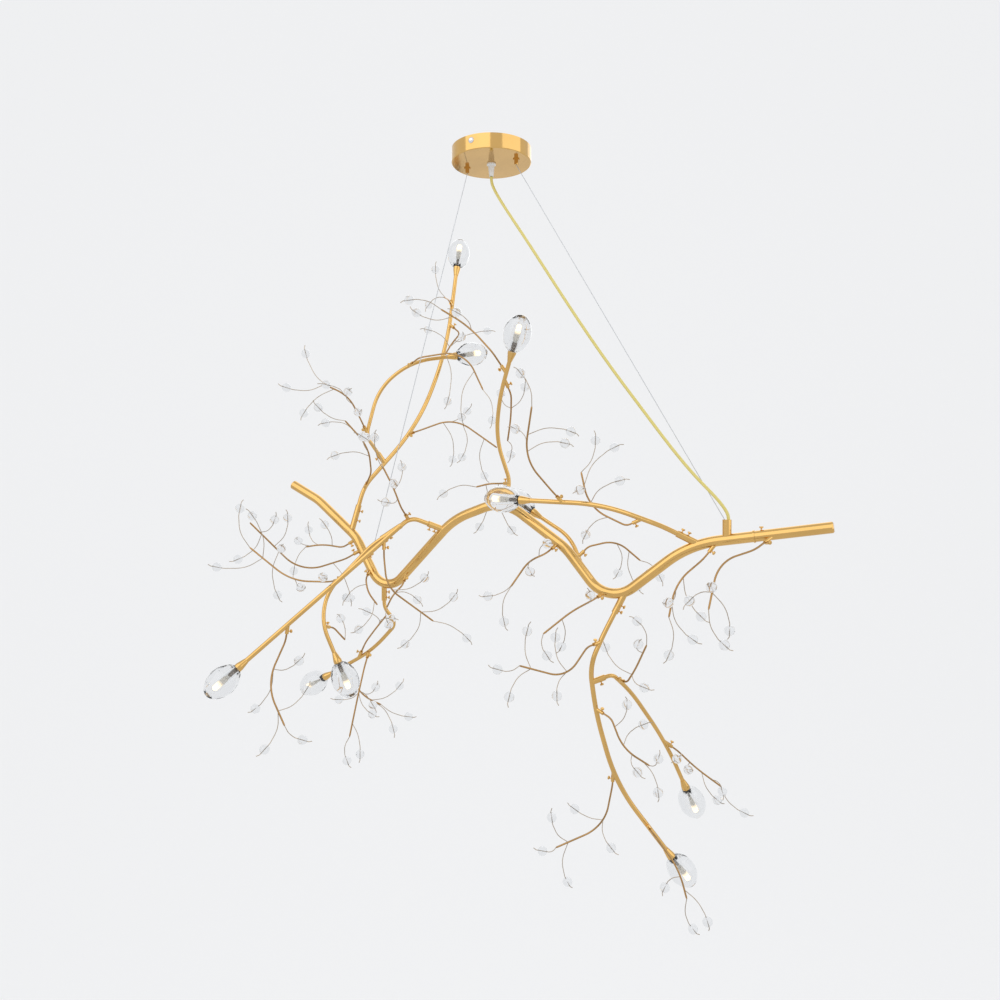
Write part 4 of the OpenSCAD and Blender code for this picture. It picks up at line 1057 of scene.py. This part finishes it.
def screw_places(tube):
    """(point, direction, radius held, socket radius) of each thumbscrew on a tube."""
    places = []
    for number, (parent, along, diameter, end, side, bends) in BRANCHES.items():
        if parent != tube:
            continue
        way = SPINES[number].leg(0).normalized()
        start = clear_of(parent, along, way, diameter / 2)
        out = side * way.cross(Vector((0, 1, 0))).normalized()
        shares = (0.3, 0.75) if end - start > LONG_GRIP else (0.55,)
        for share in shares:
            places.append((SPINES[number].points[0] + (start + share * (end - start)) * way, out,
                           diameter / 2, diameter / 2 + SWIVEL_GAP + SOCKET_WALL))
    rod = sizes().rod_diameter / MM
    for twig in TWIGS:
        if twig[0] != tube:
            continue
        path = twig_path(twig)
        way = path.leg(0).normalized()
        tube_way = SPINES[tube].at(twig[1])[1]
        lean = (tube_way - tube_way.dot(way) * way).normalized()
        out = -lean if way.dot(tube_way) > 0 else lean
        reach = twig_start(twig, rod) + TWIG_SCREW_AT * TWIG_GRIP
        places.append((path.points[0] + reach * way, out, rod / 2,
                       rod / 2 + HOLD_GAP + TWIG_SOCKET_WALL))
    if tube == 0:
        split = SPINES[0].length() - STEM_END_PIECE
        for past, up in LOCK_SCREWS:
            places.append((SPINES[0].at(split + past)[0], Vector((0, 0, up)),
                           SPIGOT_DIAMETER / 2, STEM_DIAMETER / 2))
    return places


def screw_profile(head, shank, neck):
    """A thumbscrew above its socket, from the middle of its foot to the middle of its head."""
    r = head / 2
    top = neck + SCREW_HEAD
    return ([(0, 0), (shank / 2, 0), (shank / 2, neck - 0.5), (shank / 2 + 0.5, neck - 0.1),
             (r - 0.5, neck), (r, neck + 0.4), (r, top - 0.7)]
            + arc((r - 0.7, top - 0.7), 0.7, 20, 80, 3) + [(0.9, top - 0.25), (0, top - 0.3)])


class ChandelierScrews(bpy.types.Operator):
    """The thumbscrews that hold the branches and twigs in their sockets"""
    bl_idname = "chandelier.screws"
    bl_label = "Thumbscrews"

    def execute(self, context):
        head = sizes().screw_head / MM
        gold = polished_gold()

        def knurl(p):
            r = math.hypot(p.x, p.y)
            if r < head / 2 - 0.3:
                return p
            wave = 1 - 0.045 * (0.5 + 0.5 * math.cos(16 * math.atan2(p.y, p.x)))
            return Vector((p.x * wave, p.y * wave, p.z))
        for tube in range(11):
            places = screw_places(tube)
            if not places:
                continue
            label = "stem" if tube == 0 else f"branch_{tube}"
            groups = {}
            for point, out, held, socket in places:
                groups.setdefault((held, round(socket, 3)), []).append((point, out))
            parts = []
            for (held, socket), spots in groups.items():
                neck = socket - held - TIP_GAP + SCREW_NECK
                shape = template("screw_shape", turned_mesh(
                    "screw_shape", screw_profile(head, 2, neck), 32, shape=knurl))
                spots = [(point + (held + TIP_GAP) * out, out) for point, out in spots]
                parts.append(set_out("screws", shape, spots, gold))
                discard(shape)
            piece = joined(f"Thumbscrews.{label}", parts)
            settle(piece, body_of_tube(tube), "polished_brass",
                   "stem_thumbscrews" if tube == 0 else f"branch_{tube}_twigs")
        return {"FINISHED"}


def joined(name, parts):
    """One piece from several with the same material."""
    shell = bmesh.new()
    for part in parts:
        shell.from_mesh(part.data)
    mesh = bpy.data.meshes.new(name)
    shell.to_mesh(mesh)
    shell.free()
    mesh.materials.append(parts[0].data.materials[0])
    for part in parts:
        old = part.data
        bpy.data.objects.remove(part)
        bpy.data.meshes.remove(old)
    return new_piece(name, mesh)


def lamp_place(number):
    """The end of a branch's tube and its direction."""
    spine = SPINES[number]
    return spine.points[-1], spine.leg(len(spine.points) - 2).normalized()


def egg_radius(z, length, diameter):
    """Radius of the egg's outside at a height from its middle: round ends and a large flank."""
    half = length / 2
    end_r = 0.35 * diameter
    end_z = half - end_r
    swell = diameter / 2 - end_r
    back = (end_z * end_z - swell * swell) / (2 * swell)
    flank = back + diameter / 2
    reach = flank * end_z / (flank - end_r)
    if abs(z) <= reach:
        return math.sqrt(flank * flank - z * z) - back
    return math.sqrt(max(0.0, end_r * end_r - (abs(z) - end_z) ** 2))


def egg_mesh(number):
    """A thick-walled egg with a bore for the bulb, its outside gently rippled by hand work."""
    size = sizes()
    length, diameter = size.egg_length / MM, size.egg_diameter / MM
    ripple = size.egg_ripple / MM
    middle = CUP_LENGTH + length / 2 - EGG_CUT
    low = -length / 2 + EGG_CUT
    bore = EGG_BORE
    bore_top = BULB_BASE + BULB_LENGTH + BULB_ROOM - bore - middle
    steps = 40
    outside = []
    for i in range(steps + 1):
        angle = math.radians(180) * i / steps
        z = -math.cos(angle) * length / 2
        if z > low + 0.3:
            outside.append((egg_radius(z, length, diameter), z))
    outside[-1] = (0, length / 2)
    rim = egg_radius(low, length, diameter)
    inside = arc((0, bore_top), bore, 90, 0, 8)
    inside[0] = (0, bore_top + bore)
    profile = inside + [(bore, bore_top - 8), (bore, low + 4), (bore, low + 0.6),
                        (bore + 0.5, low), (rim - 0.6, low), (rim - 0.05, low + 0.35)] + outside

    def hand_made(p):
        r = math.hypot(p.x, p.y)
        if r < bore + 1.5 and p.z < bore_top + bore + 1:
            return p
        away = Vector((p.x, p.y, p.z)).normalized()
        seed = Vector((number * 7.3, number * 3.1, number * 5.7))
        wave = noise.noise(p / 9 + seed) + 0.4 * noise.noise(p / 4.5 - seed)
        return p + away * min(0.0, ripple * (wave - 0.6))
    mesh = turned_mesh(f"Glass_egg.branch_{number}", profile, 72, shape=hand_made)
    return mesh, middle


def stand(mesh, number, up):
    """Moves a mesh that was made round the origin to a branch's lamp."""
    point, way = lamp_place(number)
    turn = way.to_track_quat("Z", "Y").to_matrix().to_4x4()
    mesh.transform(Matrix.Translation((point + up * way) * MM) @ turn)
    return mesh


class ChandelierEggs(bpy.types.Operator):
    """The glass eggs round the lamps"""
    bl_idname = "chandelier.eggs"
    bl_label = "Glass eggs"

    def execute(self, context):
        glass = clear_glass("egg_glass", 70, 0.0004, 420)
        for number in BRANCHES:
            mesh, middle = egg_mesh(number)
            stand(mesh, number, middle)
            mesh.materials.append(glass)
            settle(new_piece(f"Glass_egg.branch_{number}", mesh), f"branch_{number}",
                   "clear_glass", f"branch_{number}_glass")
        return {"FINISHED"}


class ChandelierLamps(bpy.types.Operator):
    """The threaded lampholders, their pins, bulbs and leads"""
    bl_idname = "chandelier.lamps"
    bl_label = "Lamps"

    def execute(self, context):
        nickel = dull_metal("dark_nickel", (0.3, 0.26, 0.22), (0.14, 0.12, 0.1), 0.24, 900)
        brass = polished_gold()
        ceramic = moulded("bulb_base", (0.85, 0.82, 0.74), 0.35)
        bulb_glow = lit_bulb()
        insulation = moulded("lead_sleeve", (0.88, 0.88, 0.86), 0.4)
        for number in BRANCHES:
            body = f"branch_{number}"
            node = f"branch_{number}_lamp"
            holder = turned_mesh(f"Lampholder.{body}", self.holder_profile(), 32)
            base = turned_mesh(f"Bulb_base.{body}", self.base_profile(), 32)
            bulb = turned_mesh(f"Bulb.{body}", self.bulb_profile(), 32)
            up = bulb.attributes.new("up", "FLOAT", "POINT")
            top = max(v.co.z for v in bulb.vertices)
            up.data.foreach_set("value", [v.co.z / top for v in bulb.vertices])
            for mesh, lift, material, slot in (
                    (holder, HOLDER_FLOOR, nickel, "lamp_metal"),
                    (base, BULB_BASE, ceramic, "lamp_metal"),
                    (bulb, BULB_BASE + BULB_SEAT, bulb_glow, "lamp_metal")):
                stand(mesh, number, lift)
                mesh.materials.append(material)
                settle(new_piece(mesh.name, mesh), body, slot, node)
            point, way = lamp_place(number)
            across = way.cross(Vector((0.3, 0.2, 1))).normalized()
            pins = [([point + side * 2 * across + (BULB_BASE - 5) * way,
                      point + side * 2 * across + (BULB_BASE + 0.5) * way], 0.8)
                    for side in (-1, 1)]
            settle(drawn(f"Bulb_pins.{body}", pins, 12, brass), body, "lamp_metal", node)
            start = clear_of(BRANCHES[number][0], BRANCHES[number][1],
                             SPINES[number].leg(0).normalized(), BRANCHES[number][2] / 2)
            lead = SPINES[number].samples(start, step=5) + [point + (HOLDER_FLOOR + 0.5) * way]
            settle(drawn(f"Lead.{body}", [(lead, 2.4)], 10, insulation), body, "lamp_metal", node)
        return {"FINISHED"}

    def holder_profile(self):
        """A sleeve with a rolled thread, open at the top round the pins' face."""
        turns = sizes().thread_count
        pitch = (HOLDER_LENGTH - 6) / turns
        profile = [(0, 0), (2.9, 0), (3.4, 0.6), (3.4, 2.6)]
        for i in range(turns):
            z = 3 + i * pitch
            profile += [(2.95, z), (3.45, z + 0.35 * pitch), (3.45, z + 0.65 * pitch),
                        (2.95, z + pitch)]
        return profile + [(3.45, HOLDER_LENGTH - 2.2), (3.45, HOLDER_LENGTH - 0.5),
                          (3.1, HOLDER_LENGTH), (2.7, HOLDER_LENGTH), (0, HOLDER_LENGTH)]

    def base_profile(self):
        return [(0, 0.4), (2.6, 0.4), (3.2, 0.9), (3.2, 4.2), (4, 4.6), (4, 5.2), (0, 5.2)]

    def bulb_profile(self):
        tip = BULB_LENGTH - BULB_SEAT
        return ([(0, 0), (3.8, 0), (4.2, 0.8), (4.25, 6), (4.25, tip - 4.8)]
                + arc((0, tip - 4.25), 4.25, 5, 80, 7) + [(0, tip)])


SOLID_FINISHES = {
    "ceiling_bracket": "zinc", "canopy": "gold", "canopy_side_screws": "chrome",
    "wire_grippers": "gold", "cable_gland": "nylon", "gland_nut": "nylon",
    "terminal_block": "white", "led_driver": "white", "main_stem": "gold",
    "stem_end_piece": "gold", "stem_end_caps": "gold", "hanger_post": "gold",
    "wire_clip": "gold", "stem_wiring": "sleeve"}


class ChandelierSolids(bpy.types.Operator):
    """The finishes of the solids that stay as they are"""
    bl_idname = "chandelier.solids"
    bl_label = "Tubes and ceiling set"

    def execute(self, context):
        finishes = {
            "gold": polished_gold(),
            "zinc": dull_metal("zinc_plate", (0.62, 0.63, 0.64), (0.5, 0.51, 0.53), 0.3, 700),
            "chrome": dull_metal("chrome_screw", (0.78, 0.78, 0.8), (0.7, 0.7, 0.72), 0.08, 900),
            "nylon": moulded("clear_nylon", (0.9, 0.9, 0.89), 0.22, transmission=0.35),
            "white": moulded("white_plastic", (0.8, 0.8, 0.79), 0.45),
            "sleeve": moulded("lead_sleeve", (0.88, 0.88, 0.86), 0.4)}
        chosen = dict(SOLID_FINISHES)
        chosen.update({f"branch_{n}_tube": "gold" for n in BRANCHES})
        for name, finish in chosen.items():
            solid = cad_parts[name]
            solid.data.materials.clear()
            solid.data.materials.append(finishes[finish])
            for face in solid.data.polygons:
                face.use_smooth = True
            weld = solid.modifiers.new("Join facets", "WELD")
            weld.merge_threshold = 0.000002
            split = solid.modifiers.new("Keep crisp edges", "EDGE_SPLIT")
            split.split_angle = math.radians(32)
        return {"FINISHED"}


class ChandelierPanel(bpy.types.Panel):
    """The chandelier's pieces, sizes and colours"""
    bl_idname = "VIEW3D_PT_chandelier"
    bl_label = "Branch chandelier"
    bl_space_type = "VIEW_3D"
    bl_region_type = "UI"
    bl_category = "Chandelier"

    def draw(self, context):
        for operator in OPERATORS:
            self.layout.operator(operator.bl_idname)
        for group in (context.scene.chandelier_sizes, context.scene.chandelier_colours):
            box = self.layout.box()
            for key in group.__annotations__:
                box.prop(group, key)


OPERATORS = (ChandelierStage, ChandelierCords, ChandelierSolids, ChandelierTwigs, ChandelierBeads,
             ChandelierScrews, ChandelierLamps, ChandelierEggs)
CLASSES = (ChandelierSizes, ChandelierColours, *OPERATORS, ChandelierPanel)


def register():
    for each in CLASSES:
        bpy.utils.register_class(each)
    bpy.types.Scene.chandelier_sizes = PointerProperty(type=ChandelierSizes)
    bpy.types.Scene.chandelier_colours = PointerProperty(type=ChandelierColours)


def unregister():
    del bpy.types.Scene.chandelier_colours
    del bpy.types.Scene.chandelier_sizes
    for each in reversed(CLASSES):
        bpy.utils.unregister_class(each)


def main():
    register()
    for operator in OPERATORS:
        group, name = operator.bl_idname.split(".")
        getattr(getattr(bpy.ops, group), name)()
    bpy.context.view_layer.update()


if __name__ == "__main__":
    main()
